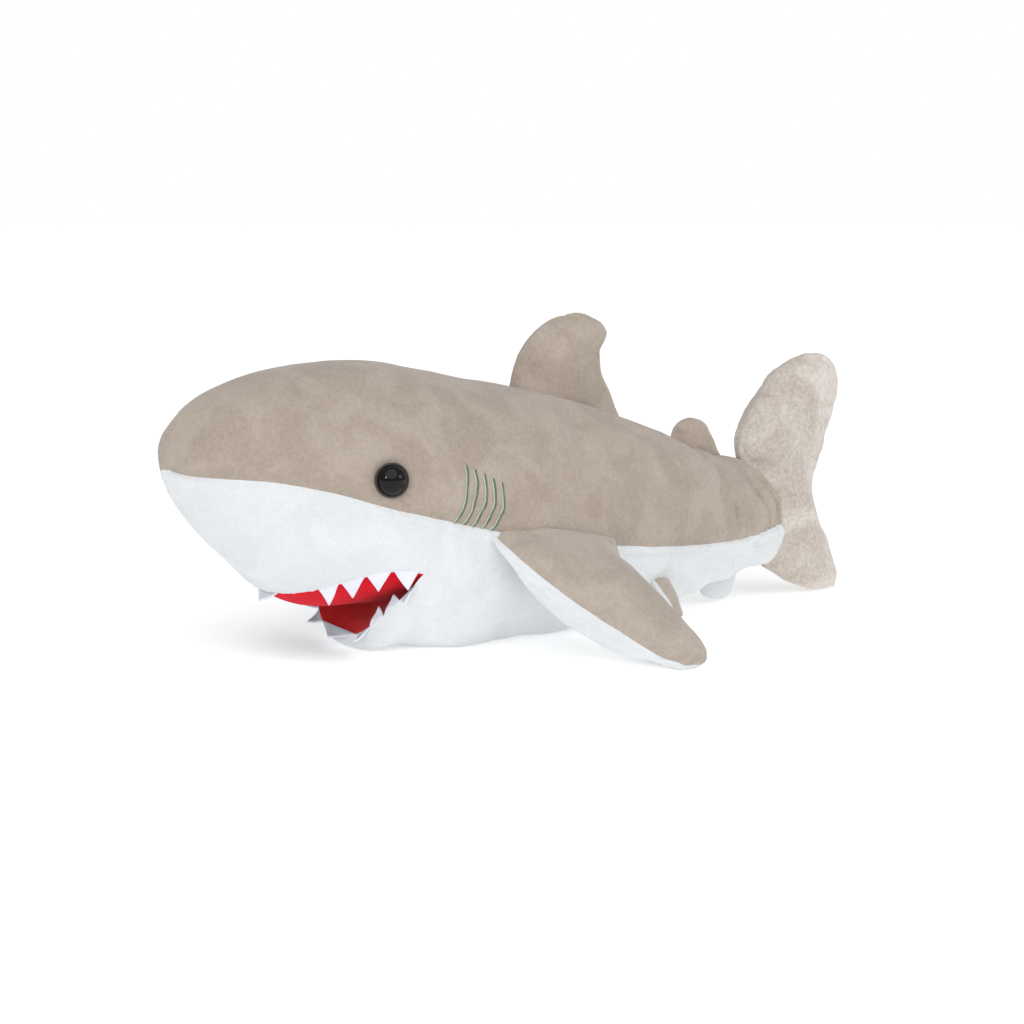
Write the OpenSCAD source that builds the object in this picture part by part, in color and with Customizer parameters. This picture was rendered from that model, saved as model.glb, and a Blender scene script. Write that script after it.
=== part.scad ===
// Stuffed plush shark that rests on its belly with its mouth open.
// Frame: nose towards -Y, tail towards +Y, +X is the shark's left side, +Z up.
// The origin is on the ground, in the middle of the whole toy's footprint.
// Each outer panel is a thin closed sheet of plush, and each filling is a closed solid inside its panels.

/* [Body] */
// Length from the nose to the tip of the tail fin
body_length = 590; // [560:5:620]
// Thickness of the short-pile plush with its seam allowance
plush_t = 2; // [1.5:0.1:2.5]
// Gap left between two panels along a seam, and between a panel and its filling
seam_gap = 0.3; // [0.2:0.05:0.4]

/* [Face] */
// Diameter of the domed plastic safety eye
eye_d = 24; // [20:1:26]
// Number of embroidered gill lines on each side
gill_count = 5; // [3:1:6]
// Number of felt teeth along the upper lip
upper_tooth_count = 13; // [9:2:17]
// Number of felt teeth along the lower lip
lower_tooth_count = 9; // [7:2:13]
// Height of a felt tooth
tooth_h = 13; // [10:1:15]
// Thickness of the red and white felt
felt_t = 1.5; // [1:0.1:2]

/* [Fins] */
// Thickness of a stuffed side fin at its fattest place
pectoral_t = 38; // [30:1:40]
// Thickness of the stuffed back fin at its fattest place
dorsal_t = 30; // [24:1:34]
// Thickness of the stuffed tail fin at its fattest place
tail_t = 34; // [28:1:38]
// Clear space between the body and the root of a fin
root_gap = 1; // [0.6:0.1:1.5]

/* [Hidden] */

taupe = [0.68, 0.61, 0.55];
pale_taupe = [0.80, 0.76, 0.72];
white_plush = [0.92, 0.93, 0.93];
red_felt = [0.72, 0.04, 0.07];
white_felt = [0.95, 0.95, 0.96];
thread_green = [0.66, 0.70, 0.63];
stuffing = [0.97, 0.96, 0.92];
eye_black = [0.03, 0.03, 0.03];

$fn = 64;

// Everything along the body is set out by its distance s behind the nose, for a toy drawn_length long,
// and body_length stretches or shortens it evenly.
drawn_length = 590;
function y_at(s) = (s - drawn_length / 2) * body_length / drawn_length;

// Body stations: s, top, bottom, half width, height of the widest place, height of the side seam.
// A bottom below zero is flattened on the ground.
STATIONS = [
  [  0, 150, 136,  4, 144, 138],
  [ 10, 168, 116, 25, 143, 135],
  [ 30, 184,  88, 45, 140, 134],
  [ 55, 196,  62, 60, 136, 132],
  [ 76, 202,  46, 70, 132, 128],
  [105, 205,  32, 79, 127, 120],
  [135, 206,  15, 86, 121, 110],
  [165, 203,   0, 91, 115, 102],
  [195, 197, -12, 93, 109,  94],
  [240, 188, -14, 93, 101,  83],
  [280, 180, -13, 90,  96,  75],
  [320, 170, -10, 85,  91,  69],
  [360, 159,  -3, 78,  87,  64],
  [400, 147,   4, 68,  83,  60],
  [440, 137,  11, 55,  77,  58],
  [475, 130,  17, 41,  73,  58],
  [505, 121,  23, 26,  71,  60],
  [525, 115,  27, 16,  70,  62]
];
// The seam round the tail root bulges rearwards in the middle of its height
tail_root_top = [488, 115];
tail_root_bottom = [515, 27];
tail_bulge = 20;

function station_slope(k, i) = let (a = max(i - 1, 0), b = min(i + 1, len(STATIONS) - 1))
  (STATIONS[b][k] - STATIONS[a][k]) / (STATIONS[b][0] - STATIONS[a][0]);
function station_index(s, i = 0) =
  i >= len(STATIONS) - 2 || s < STATIONS[i + 1][0] ? i : station_index(s, i + 1);
// Smooth curve of column k of the stations at s
function along(k, s) = let (
    i = station_index(s),
    h = STATIONS[i + 1][0] - STATIONS[i][0],
    t = (s - STATIONS[i][0]) / h)
  (2 * pow(t, 3) - 3 * pow(t, 2) + 1) * STATIONS[i][k]
  + (pow(t, 3) - 2 * pow(t, 2) + t) * h * station_slope(k, i)
  + (3 * pow(t, 2) - 2 * pow(t, 3)) * STATIONS[i + 1][k]
  + (pow(t, 3) - pow(t, 2)) * h * station_slope(k, i + 1);

// Roundness of a cross section: 1 is an ellipse, less is boxier
section_power = 0.92;
function spow(v, p) = sign(v) * pow(abs(v), p);
// A point of the cross section at s, inset by d, at angle a from the left side: 90 is the top, -90 the bottom
function section_xz(s, a, d) = let (
    w = along(3, s) - d, mid = along(4, s),
    up = along(1, s) - mid - d, down = mid - along(2, s) - d)
  [w * spow(cos(a), section_power),
   max(mid + (sin(a) > 0 ? up : down) * spow(sin(a), section_power), d)];
// Angle at which the lower half of the section passes height z
function angle_at(s, z) = let (mid = along(4, s), span = mid - along(2, s))
  -asin(min(1, pow(max(0, mid - z) / span, 1 / section_power)));

// How far the sections lean rearwards, from none in front of lean_start to all at the tail root
lean_start = 400;
root_s = STATIONS[len(STATIONS) - 1][0];
function root_curve(z) = let (
    t = (z - tail_root_bottom[1]) / (tail_root_top[1] - tail_root_bottom[1]))
  tail_root_bottom[0] + (tail_root_top[0] - tail_root_bottom[0]) * t + 4 * tail_bulge * t * (1 - t);
function lean(s, z) = s <= lean_start ? 0
  : pow((s - lean_start) / (root_s - lean_start), 1.5) * (root_curve(z) - root_s);
function body_point(s, a, d) = let (p = section_xz(s, a, d)) [p[0], y_at(s + lean(s, p[1])), p[1]];

function reversed(list) = [for (i = [len(list) - 1 : -1 : 0]) list[i]];

// A closed sheet between two grids of points: rows across, each row a list of points
module sheet(outer, inner) {
  rows = len(outer);
  cols = len(outer[0]);
  m = rows * cols;
  function at(r, c, side) = side * m + r * cols + c;
  polyhedron(
    points = concat([for (row = outer) each row], [for (row = inner) each row]),
    faces = concat(
      [for (r = [0 : rows - 2], c = [0 : cols - 2]) each
        [[at(r, c, 0), at(r, c + 1, 0), at(r + 1, c + 1, 0)], [at(r, c, 0), at(r + 1, c + 1, 0), at(r + 1, c, 0)]]],
      [for (r = [0 : rows - 2], c = [0 : cols - 2]) each
        [[at(r, c, 1), at(r + 1, c + 1, 1), at(r, c + 1, 1)], [at(r, c, 1), at(r + 1, c, 1), at(r + 1, c + 1, 1)]]],
      [for (c = [0 : cols - 2]) each
        [[at(0, c, 0), at(0, c, 1), at(0, c + 1, 1)], [at(0, c, 0), at(0, c + 1, 1), at(0, c + 1, 0)],
         [at(rows - 1, c, 0), at(rows - 1, c + 1, 1), at(rows - 1, c, 1)],
         [at(rows - 1, c, 0), at(rows - 1, c + 1, 0), at(rows - 1, c + 1, 1)]]],
      [for (r = [0 : rows - 2]) each
        [[at(r, 0, 0), at(r + 1, 0, 1), at(r, 0, 1)], [at(r, 0, 0), at(r + 1, 0, 0), at(r + 1, 0, 1)],
         [at(r, cols - 1, 0), at(r, cols - 1, 1), at(r + 1, cols - 1, 1)],
         [at(r, cols - 1, 0), at(r + 1, cols - 1, 1), at(r + 1, cols - 1, 0)]]]),
    convexity = 6);
}

// A closed solid through a list of rings that all have the same even number of points and mirror left to right
module loft(rings) {
  n = len(rings[0]);
  rows = len(rings);
  last = (rows - 1) * n;
  polyhedron(
    points = [for (row = rings) each row],
    faces = concat(
      [for (r = [0 : rows - 2], c = [0 : n - 1]) each let (d = (c + 1) % n)
        [[r * n + c, r * n + d, (r + 1) * n + d], [r * n + c, (r + 1) * n + d, (r + 1) * n + c]]],
      [for (c = [0 : n / 2 - 2]) each let (a = c, b = c + 1, e = n - 1 - c, f = n - 2 - c)
        [[a, e, f], [a, f, b], [last + a, last + f, last + e], [last + a, last + b, last + f]]]),
    convexity = 6);
}

// ---------------------------------------------------------------- lips and mouth
lip_front_s = 76;
lip_front_z = 47;
corner_s = 165;
corner_z = 62;
chin_front_s = 131;
chin_front_z = 9;
// Height of the upper lip, and the angle of the section where it lies
lip_arch = 8;
function upper_lip_z(s) = let (t = max(0, (s - lip_front_s) / (corner_s - lip_front_s)))
  lip_front_z + (corner_z - lip_front_z) * pow(t, 0.9) + lip_arch * sin(180 * pow(t, 1.6));
function upper_lip_angle(s) = angle_at(s, upper_lip_z(s));
// Angle of the lower edge of the head: the middle line in front of the mouth, and then the lip
function lower_edge_angle(s) = s <= lip_front_s ? -90 : upper_lip_angle(s);
// Lower jaw sections: the lip's half width and height, and the bottom of the chin
function jaw_t(s) = max(0, (s - chin_front_s) / (corner_s - chin_front_s));
corner_x = section_xz(corner_s, angle_at(corner_s, corner_z), 0)[0];
function jaw_lip_x(s) = corner_x * pow(jaw_t(s), 0.38);
function jaw_lip_z(s) = chin_front_z + (jaw_corner_z - chin_front_z) * pow(jaw_t(s), 0.85);
// The chin's underside starts chin_rise above the ground and reaches chin_sink below it, where it is flattened
chin_rise = 5;
chin_sink = 10;
flat_from = 0.35;
function jaw_bottom(s) = chin_rise - (chin_rise + chin_sink) * min(1, jaw_t(s) / flat_from);

// Where the body panels have their rows of facets
body_steps = [0, 3, 8, 16, 28, 42, 58, 76, 84, 95, 112, 130, 148, 165, 185, 207, 232, 260,
              290, 320, 350, 380, 410, 435, 460, 482, 505, 525];
snout_steps = [for (s = body_steps) if (s < corner_s) s];
belly_steps = [for (s = body_steps) if (s >= corner_s) s];

module back_panel() {
  cols = 20;
  function grid(d) = [for (s = body_steps)
    let (a0 = angle_at(s, along(5, s) + seam_gap / 2))
    [for (c = [0 : cols]) body_point(s, a0 + (180 - 2 * a0) * c / cols, d)]];
  color(taupe) difference() {
    sheet(grid(0), grid(plush_t));
    for (side = [-1, 1]) at_eye(side)
      translate([0, 0, -post_len]) cylinder(d = post_d + post_clear, h = 2 * post_len);
  }
}

// Each half of the snout panel runs from the side seam down to the middle line under the nose,
// and from there back along the upper lip to the corner of the mouth.
module snout_half(side) {
  cols = 9;
  function grid(d) = [for (s = concat(snout_steps, [corner_s - seam_gap]))
    let (a_seam = angle_at(s, along(5, s) - seam_gap / 2))
    [for (c = [0 : cols]) let (p = body_point(s, a_seam + (lower_edge_angle(s) - a_seam) * c / cols, d))
      [side * p[0], p[1], p[2]]]];
  if (side > 0) sheet(grid(plush_t), grid(0));
  else sheet(grid(0), grid(plush_t));
}

module snout_panel() {
  color(white_plush) union() {
    snout_half(1);
    snout_half(-1);
  }
}

module belly_panel() {
  cols = 16;
  function grid(d) = [for (s = belly_steps)
    let (a0 = angle_at(s, along(5, s) - seam_gap / 2))
    [for (c = [0 : cols]) body_point(s, 180 - a0 + (180 + 2 * a0) * c / cols, d)]];
  color(white_plush) sheet(grid(0), grid(plush_t));
}

// ---------------------------------------------------------------- mouth linings
// The felt palate hangs between the lips like a hammock, and the lining of the jaw sags the same way
palate_sag = 12;
sag_power = 2.2;
function palate_middle_z(s) = let (t = (s - lip_front_s) / (corner_s - lip_front_s))
  lip_front_z - palate_sag * pow(sin(180 * min(t, 0.5)), 0.7);
function jaw_middle_z(s) = chin_front_z + (jaw_throat_z - chin_front_z) * jaw_t(s);
palate_throat_z = palate_middle_z(corner_s);
throat_gap = 5;
jaw_throat_z = palate_throat_z - throat_gap;
corner_gap = 3.5;
jaw_corner_z = corner_z - corner_gap;
function hammock(lip_x, lip_z, middle_z, v) =
  [lip_x * v, middle_z + (lip_z - middle_z) * pow(abs(v), sag_power)];

palate_steps = concat([for (s = snout_steps) if (s > lip_front_s) s], [corner_s - seam_gap]);
function palate_grid(d) = [for (s = palate_steps)
  let (lip = section_xz(s, upper_lip_angle(s), plush_t + 1))
  [for (c = [-7 : 7]) let (p = hammock(lip[0], upper_lip_z(s), palate_middle_z(s), c / 7))
    [p[0], y_at(s), p[1] + d]]];

module palate_lining() {
  color(red_felt) sheet(palate_grid(0), palate_grid(felt_t));
}

jaw_rows = 8;
jaw_first_s = chin_front_s + 1.5;
jaw_steps = [for (k = [0 : jaw_rows])
  jaw_first_s + (corner_s - jaw_first_s - seam_gap) * pow(k / jaw_rows, 1.3)];
function jaw_point(s, turn, d) = let (
    t = jaw_t(s),
    own = [(jaw_lip_x(s) - d) * cos(turn),
           jaw_lip_z(s) - (jaw_lip_z(s) - jaw_bottom(s) - d) * pow(sin(turn), 0.85)],
    a_corner = angle_at(corner_s, jaw_corner_z),
    rear = section_xz(corner_s, a_corner + (-90 - a_corner) * min(turn, 180 - turn) / 90, d),
    p = [own[0] + (sign(cos(turn)) * rear[0] - own[0]) * t * t, own[1] + (rear[1] - own[1]) * t * t])
  [p[0], y_at(s), max(p[1], d)];

module chin_panel() {
  cols = 16;
  function grid(d) = [for (s = jaw_steps) [for (c = [0 : cols]) jaw_point(s, 180 - 180 * c / cols, d)]];
  color(white_plush) sheet(grid(0), grid(plush_t));
}

function jaw_lining_grid(d) = [for (s = jaw_steps)
  let (edge = jaw_point(s, 0, plush_t + 0.8))
  [for (c = [-7 : 7]) let (p = hammock(edge[0], edge[2], jaw_middle_z(s), c / 7)) [p[0], y_at(s), p[1] + d]]];

module jaw_lining() {
  color(red_felt) sheet(jaw_lining_grid(-felt_t), jaw_lining_grid(0));
}

module chin_filling() {
  d = plush_t + 1;
  function roof_row(s) = let (edge = jaw_point(s, 0, d))
    [for (c = [-6 : 6]) let (p = hammock(edge[0], edge[2], jaw_middle_z(s), c / 7))
      [p[0], y_at(s), p[1] - felt_t - 0.8]];
  first = 3;
  least_t = 0.4;
  roof = [for (k = [first : jaw_rows]) roof_row(jaw_steps[k])];
  color(stuffing) sheet([for (k = [first : jaw_rows]) [for (p = roof[k - first])
    [p[0], p[1], min(p[2] - least_t, chin_floor(jaw_steps[k], p[0], d))]]], roof);
}
// Height of the inside of the chin panel under a point x
function chin_floor(s, x, d) = let (
    pts = [for (c = [0 : 24]) jaw_point(s, 7.5 * c, d)],
    hit = [for (i = [0 : 23]) if (pts[i][0] >= x && pts[i + 1][0] <= x) i][0],
    a = pts[hit], b = pts[hit + 1])
  a[2] + (b[2] - a[2]) * (a[0] == b[0] ? 0 : (a[0] - x) / (a[0] - b[0]));

// ---------------------------------------------------------------- body filling
// The eye's place on the head, and the parts that lock it there
eye_s = 134;
eye_z = 131;
post_d = 5;
post_clear = 0.4;
washer_d = 20;
washer_t = 1.6;
post_len = 13;
washer_depth = 9;
pocket_d = washer_d + 2;
function upper_angle_at(s, z) = let (mid = along(4, s))
  z > mid ? asin(pow((z - mid) / (along(1, s) - mid), 1 / section_power)) : angle_at(s, z);
function skin_point(s, z) = body_point(s, upper_angle_at(s, z), 0);
function unit(v) = v / norm(v);
function outward(s, z) = let (near = 4)
  unit(cross(skin_point(s + near, z) - skin_point(s - near, z),
             skin_point(s, z + near) - skin_point(s, z - near)));

// Places children at the left or right eye with +Z pointing out of the head
module at_eye(side) {
  p = skin_point(eye_s, eye_z);
  n = outward(eye_s, eye_z);
  translate([side * p[0], p[1], p[2]])
    rotate([0, acos(n[2]), atan2(n[1], side * n[0])])
      children();
}

// Space left between the fibre filling and the panels round it
fill_gap = 1.3;
module body_filling() {
  cols = 28;
  d = plush_t + fill_gap;
  head_slack = 2.5;
  // Rings that follow the inside of the panels, and pass over the palate where the mouth is open
  function ring(s, open) = let (
      at_s = open ? min(s, corner_s - seam_gap) : s,
      lip = section_xz(at_s, upper_lip_angle(at_s), plush_t)[0])
    [for (c = [0 : cols - 1]) let (
        a = -90 + 360 * (c + 0.5) / cols,
        p = section_xz(s, a, d + (s < corner_s && sin(a) < 0 ? head_slack * -sin(a) : 0)),
        over = hammock(lip, upper_lip_z(at_s), palate_middle_z(at_s), min(1, abs(p[0]) / lip)),
        roof = over[1] + felt_t + 1.7 * fill_gap)
      [p[0], y_at(s + lean(s, p[1])), open ? max(p[1], roof) : p[1]]];
  head = [for (s = body_steps) if (s > 2 && s < corner_s) ring(s, s > lip_front_s)];
  trunk = [for (s = body_steps) if (s > corner_s && s < root_s) ring(s, false)];
  throat_step = 0.4;
  color(stuffing) difference() {
    loft(concat(head, [ring(corner_s - throat_step, true), ring(corner_s + throat_step, false)], trunk));
    for (side = [-1, 1]) at_eye(side) {
      translate([0, 0, -post_len - 1]) cylinder(d = post_d + post_clear, h = post_len + 2);
      translate([0, 0, -washer_depth - 1]) cylinder(d = pocket_d, h = washer_t + 2);
    }
  }
}

// ---------------------------------------------------------------- eyes
module eye(side) {
  dome_h = 8;
  edge_h = 0.9;
  dome_r = (pow(eye_d / 2, 2) + pow(dome_h, 2)) / (2 * dome_h);
  lift = 0.3;
  color(eye_black) at_eye(side) {
    translate([0, 0, lift]) rotate_extrude() union() {
      square([eye_d / 2, edge_h]);
      translate([0, edge_h]) intersection() {
        translate([0, dome_h - dome_r]) circle(r = dome_r);
        square([eye_d / 2, dome_h]);
      }
    }
    translate([0, 0, -post_len]) cylinder(d = post_d, h = post_len + lift);
  }
}
module eye_left() { eye(1); }
module eye_right() { eye(-1); }

module eye_washer(side) {
  color(white_felt) at_eye(side) translate([0, 0, -washer_depth]) difference() {
    cylinder(d = washer_d, h = washer_t);
    translate([0, 0, -1]) cylinder(d = post_d + 0.1, h = washer_t + 2);
  }
}
module eye_washer_left() { eye_washer(1); }
module eye_washer_right() { eye_washer(-1); }

// ---------------------------------------------------------------- gill stitching
thread_w = 1.6;
thread_h = 0.8;
// The front line starts at gill_top, and each line behind it starts gill_pitch on and is a little shorter
gill_top = [190, 139];
gill_pitch = [7, -3.6];
gill_drop = 41;
thread_lift = 0.35;
module gill_stitching(side) {
  steps = 7;
  color(thread_green) for (i = [0 : gill_count - 1]) {
    rings = [for (k = [0 : steps]) let (
        f = k / steps,
        s = gill_top[0] + gill_pitch[0] * i - 12 * f + 5 * sin(180 * f),
        z = gill_top[1] + gill_pitch[1] * i - (gill_drop - 1.8 * i) * f,
        p = skin_point(s, z), n = outward(s, z))
      [[0, thread_w / 2, 0], thread_h * n, [0, -thread_w / 2, 0], -0.2 * n]
      + [for (j = [0 : 3]) p + thread_lift * n]];
    sided = [for (r = rings) [for (p = side > 0 ? r : reversed(r)) [side * p[0], p[1], p[2]]]];
    loft([for (k = [steps : -1 : 0]) sided[k]]);
  }
}
module gill_stitching_left() { gill_stitching(1); }
module gill_stitching_right() { gill_stitching(-1); }

// ---------------------------------------------------------------- teeth
// A felt tooth is a flat triangle that stands on base points a and b and points along tip
module tooth(a, b, tip) {
  n = felt_t / 2 * unit(cross(b - a, tip));
  m = (a + b) / 2 + tip;
  polyhedron(points = [a - n, b - n, m - n, a + n, b + n, m + n],
    faces = [[0, 1, 2], [3, 5, 4], [0, 4, 1], [0, 3, 4], [1, 5, 2], [1, 4, 5], [2, 3, 0], [2, 5, 3]]);
}
// The teeth stand tooth_inset inside the skin along each lip, closer together towards the front
tooth_inset = 1.1;
tooth_lap = 0.5;
crowding = 1.6;
function upper_lip_point(t) = let (
    s = lip_front_s + 1 + (corner_s - lip_front_s - 9) * pow(abs(t), crowding),
    p = section_xz(s, upper_lip_angle(s), tooth_inset))
  [sign(t) * p[0], y_at(s), p[1] - tooth_lap];
function lower_lip_point(t) = let (
    s = jaw_first_s + (corner_s - chin_front_s - 10) * pow(abs(t), crowding),
    p = jaw_point(s, 0, tooth_inset))
  [sign(t) * p[0], p[1], p[2] + tooth_lap];
module tooth_row(count, lip, out, up) {
  for (i = [0 : count - 1]) {
    a = lip == 1 ? upper_lip_point(-1 + 2 * i / count) : lower_lip_point(-1 + 2 * i / count);
    b = lip == 1 ? upper_lip_point(-1 + 2 * (i + 1) / count) : lower_lip_point(-1 + 2 * (i + 1) / count);
    along_lip = b - a;
    plan_out = unit([along_lip[1], -along_lip[0], 0]);
    tooth(a + 0.03 * along_lip, b - 0.03 * along_lip, out * plan_out + [0, 0, up]);
  }
}
module upper_teeth() { color(white_felt) tooth_row(upper_tooth_count, 1, 3, -tooth_h); }
module lower_teeth() { color(white_felt) tooth_row(lower_tooth_count, 2, 6, tooth_h * 0.68); }

// ---------------------------------------------------------------- fins
// Half width of the body at s and height z, below its widest place
function side_x(s, z) = section_xz(s, angle_at(s, z), 0)[0];
// A fin is a list of rows from its root to its tip: a leading point, a trailing point and a thickness.
// The panels lie either side of the middle sheet, and the filling is between them.
fin_edge = 2.4;
fin_cols = 8;
function fin_height(thick, c, fullness) = fin_edge + max(0, thick / 2 - fin_edge) * pow(sin(180 * c), fullness);
function fin_grid(rows, n, inset, side, fullness) = [for (r = rows)
  [for (k = [0 : fin_cols]) let (c = k / fin_cols, q = (1 - cos(180 * c)) / 2)
    r[0] + (r[1] - r[0]) * q + side * n * (fin_height(r[2], q, fullness) - inset)]];
module fin_panel(rows, n, side, fullness = 0.7) {
  if (side > 0) sheet(fin_grid(rows, n, plush_t, 1, fullness), fin_grid(rows, n, 0, 1, fullness));
  else sheet(fin_grid(rows, n, 0, -1, fullness), fin_grid(rows, n, plush_t, -1, fullness));
}
module fin_filling(rows, n, fullness = 0.7) {
  inset = plush_t + seam_gap;
  color(stuffing) sheet(fin_grid(rows, n, inset, -1, fullness), fin_grid(rows, n, inset, 1, fullness));
}
// Rows of an upright fin given as [lead s, lead z, trail s, trail z, thickness]
function upright(rows) = [for (r = rows) [[0, y_at(r[0]), r[1]], [0, y_at(r[2]), r[3]], r[4]]];
left_side = [1, 0, 0];
// Thickness of a fin where it is sewn to the body
root_t = 5;

dorsal_front = 277;
dorsal_rear = 370;
dorsal_rows = upright([
  [dorsal_front, along(1, dorsal_front) + 1.5 * root_gap,
   dorsal_rear, along(1, dorsal_rear) + 1.5 * root_gap, root_t],
  [279, 192, 363, 173, dorsal_t * 0.55],
  [285, 207, 356, 190, dorsal_t],
  [296, 220, 354, 205, dorsal_t * 0.9],
  [311, 230, 359, 215, dorsal_t * 0.65],
  [329, 235, 360, 221, dorsal_t * 0.4],
  [342, 234, 355, 228, dorsal_t * 0.25]]);
module dorsal_fin_left_panel() { color(taupe) fin_panel(dorsal_rows, left_side, 1); }
module dorsal_fin_right_panel() { color(taupe) fin_panel(dorsal_rows, left_side, -1); }
module dorsal_fin_filling() { fin_filling(dorsal_rows, left_side); }

rear_dorsal_rows = upright([
  [422, along(1, 422) + root_gap - 1, 465, 123.2 + root_gap, root_t],
  [425, 144, 461, 134, 13],
  [431, 149, 455, 144, 11],
  [439, 151, 448, 149, 6]]);
module rear_dorsal_fin_left_panel() { color(taupe) fin_panel(rear_dorsal_rows, left_side, 1); }
module rear_dorsal_fin_right_panel() { color(taupe) fin_panel(rear_dorsal_rows, left_side, -1); }
module rear_dorsal_fin_filling() { fin_filling(rear_dorsal_rows, left_side); }

function tail_row(z, trail, thick) = [root_curve(z) + root_gap, z, trail, z, thick];
tail_rows = upright([
  [563, 1.5, 586, 0.5, 8],
  [545, 7, 589, 8, tail_t * 0.5],
  [528, 17, 588, 16, tail_t * 0.75],
  tail_row(31, 582, tail_t * 0.85),
  tail_row(45, 576, tail_t * 0.95),
  tail_row(60, 568, tail_t),
  tail_row(76, 562, tail_t),
  tail_row(92, 560, tail_t),
  tail_row(109, 566, tail_t),
  [480, 123, 571, 120, tail_t],
  [482, 138, 576, 135, tail_t],
  [490, 154, 581, 152, tail_t * 0.9],
  [502, 168, 584, 168, tail_t * 0.8],
  [517, 181, 582, 181, tail_t * 0.65],
  [533, 191, 577, 191, tail_t * 0.45],
  [550, 197, 567, 197, 8]]);
module tail_fin_left_panel() { color(pale_taupe) fin_panel(reversed(tail_rows), -left_side, -1, 0.8); }
module tail_fin_right_panel() { color(pale_taupe) fin_panel(reversed(tail_rows), -left_side, 1, 0.8); }
module tail_fin_filling() { fin_filling(reversed(tail_rows), -left_side, 0.8); }

// Paired fins are given for the left side as [lead x, s, z, trail x, s, z, thickness]
function paired(rows, side) = [for (r = rows)
  [[side * r[0], y_at(r[1]), r[2]], [side * r[3], y_at(r[4]), r[5]], r[6]]];
function fin_normal(rows) = unit(cross(rows[1][1] - rows[1][0], rows[len(rows) - 1][0] - rows[0][0]));

pectoral_fullness = 0.5;
pectoral_rows = [
  [side_x(209, 91) + 3 * root_gap, 209, 91, side_x(313, 71) + 6 * root_gap, 313, 71, root_t],
  [105, 213, 79, 102, 312, 63, pectoral_t * 0.65],
  [121, 227, 59, 118, 312, 50, pectoral_t],
  [142, 247, 40, 141, 316, 36, pectoral_t * 0.92],
  [164, 269, 24, 164, 322, 23, pectoral_t * 0.72],
  [182, 289, 12, 184, 328, 12, pectoral_t * 0.45],
  [193, 304, 5.5, 195, 325, 5.5, 8]];
module pectoral_panel(side, top) {
  rows = paired(pectoral_rows, side);
  n = fin_normal(rows);
  color(top ? taupe : white_plush) fin_panel(rows, n, (top ? -1 : 1) * side, pectoral_fullness);
}
module pectoral_left_top_panel() { pectoral_panel(1, true); }
module pectoral_left_bottom_panel() { pectoral_panel(1, false); }
module pectoral_filling(side) {
  rows = paired(pectoral_rows, side);
  fin_filling(rows, fin_normal(rows), pectoral_fullness);
}
module pectoral_left_filling() { pectoral_filling(1); }
module pectoral_right_top_panel() { pectoral_panel(-1, true); }
module pectoral_right_bottom_panel() { pectoral_panel(-1, false); }
module pectoral_right_filling() { pectoral_filling(-1); }

pelvic_rows = [
  [side_x(358, 33) + 1.5 * root_gap, 358, 33, side_x(386, 29) + 1.5 * root_gap, 386, 29, root_t],
  [70, 362, 24, 65, 386, 22, 11],
  [74, 368, 16, 71, 386, 15, 9],
  [77, 375, 10, 76, 384, 10, 6]];
module pelvic_panel(side, outer) {
  rows = paired(pelvic_rows, side);
  n = fin_normal(rows);
  color(outer ? taupe : white_plush) fin_panel(rows, n, (outer ? -1 : 1) * side);
}
module pelvic_left_outer_panel() { pelvic_panel(1, true); }
module pelvic_left_inner_panel() { pelvic_panel(1, false); }
module pelvic_filling(side) {
  rows = paired(pelvic_rows, side);
  fin_filling(rows, fin_normal(rows));
}
module pelvic_left_filling() { pelvic_filling(1); }
module pelvic_right_outer_panel() { pelvic_panel(-1, true); }
module pelvic_right_inner_panel() { pelvic_panel(-1, false); }
module pelvic_right_filling() { pelvic_filling(-1); }

anal_rows = upright([
  [450, along(2, 450) - root_gap, 483, along(2, 483) - root_gap - 0.5, root_t],
  [453, 7.5, 481, 8, 9],
  [458, 5, 478, 5.2, 8],
  [463, 3, 474, 3, 6]]);
module anal_fin_left_panel() { color(white_plush) fin_panel(reversed(anal_rows), left_side, 1); }
module anal_fin_right_panel() { color(white_plush) fin_panel(reversed(anal_rows), left_side, -1); }
module anal_fin_filling() { fin_filling(reversed(anal_rows), left_side); }

back_panel();
snout_panel();
belly_panel();
body_filling();
palate_lining();
upper_teeth();
eye_left();
eye_right();
eye_washer_left();
eye_washer_right();
gill_stitching_left();
gill_stitching_right();
chin_panel();
chin_filling();
jaw_lining();
lower_teeth();
dorsal_fin_left_panel();
dorsal_fin_right_panel();
dorsal_fin_filling();
rear_dorsal_fin_left_panel();
rear_dorsal_fin_right_panel();
rear_dorsal_fin_filling();
tail_fin_left_panel();
tail_fin_right_panel();
tail_fin_filling();
pectoral_left_top_panel();
pectoral_left_bottom_panel();
pectoral_left_filling();
pectoral_right_top_panel();
pectoral_right_bottom_panel();
pectoral_right_filling();
pelvic_left_outer_panel();
pelvic_left_inner_panel();
pelvic_left_filling();
pelvic_right_outer_panel();
pelvic_right_inner_panel();
pelvic_right_filling();
anal_fin_left_panel();
anal_fin_right_panel();
anal_fin_filling();
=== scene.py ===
# %% [markdown]
# # A plush shark in cells
# The toy is about 59 cm long. Its skin is short-pile plush, sewn from flat panels, turned right side out and
# stuffed. Red felt lines the mouth, white felt teeth hang in it, and each eye is a domed plastic safety eye.
# The measured model comes first. It gives the joints and the space that every piece has to stay in, and it is
# already posed in metres, so nothing below moves or scales it.

# %% Load the measured model
import math
import bpy
import bmesh
import numpy as np
from mathutils import Matrix, Vector, kdtree, noise


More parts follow.
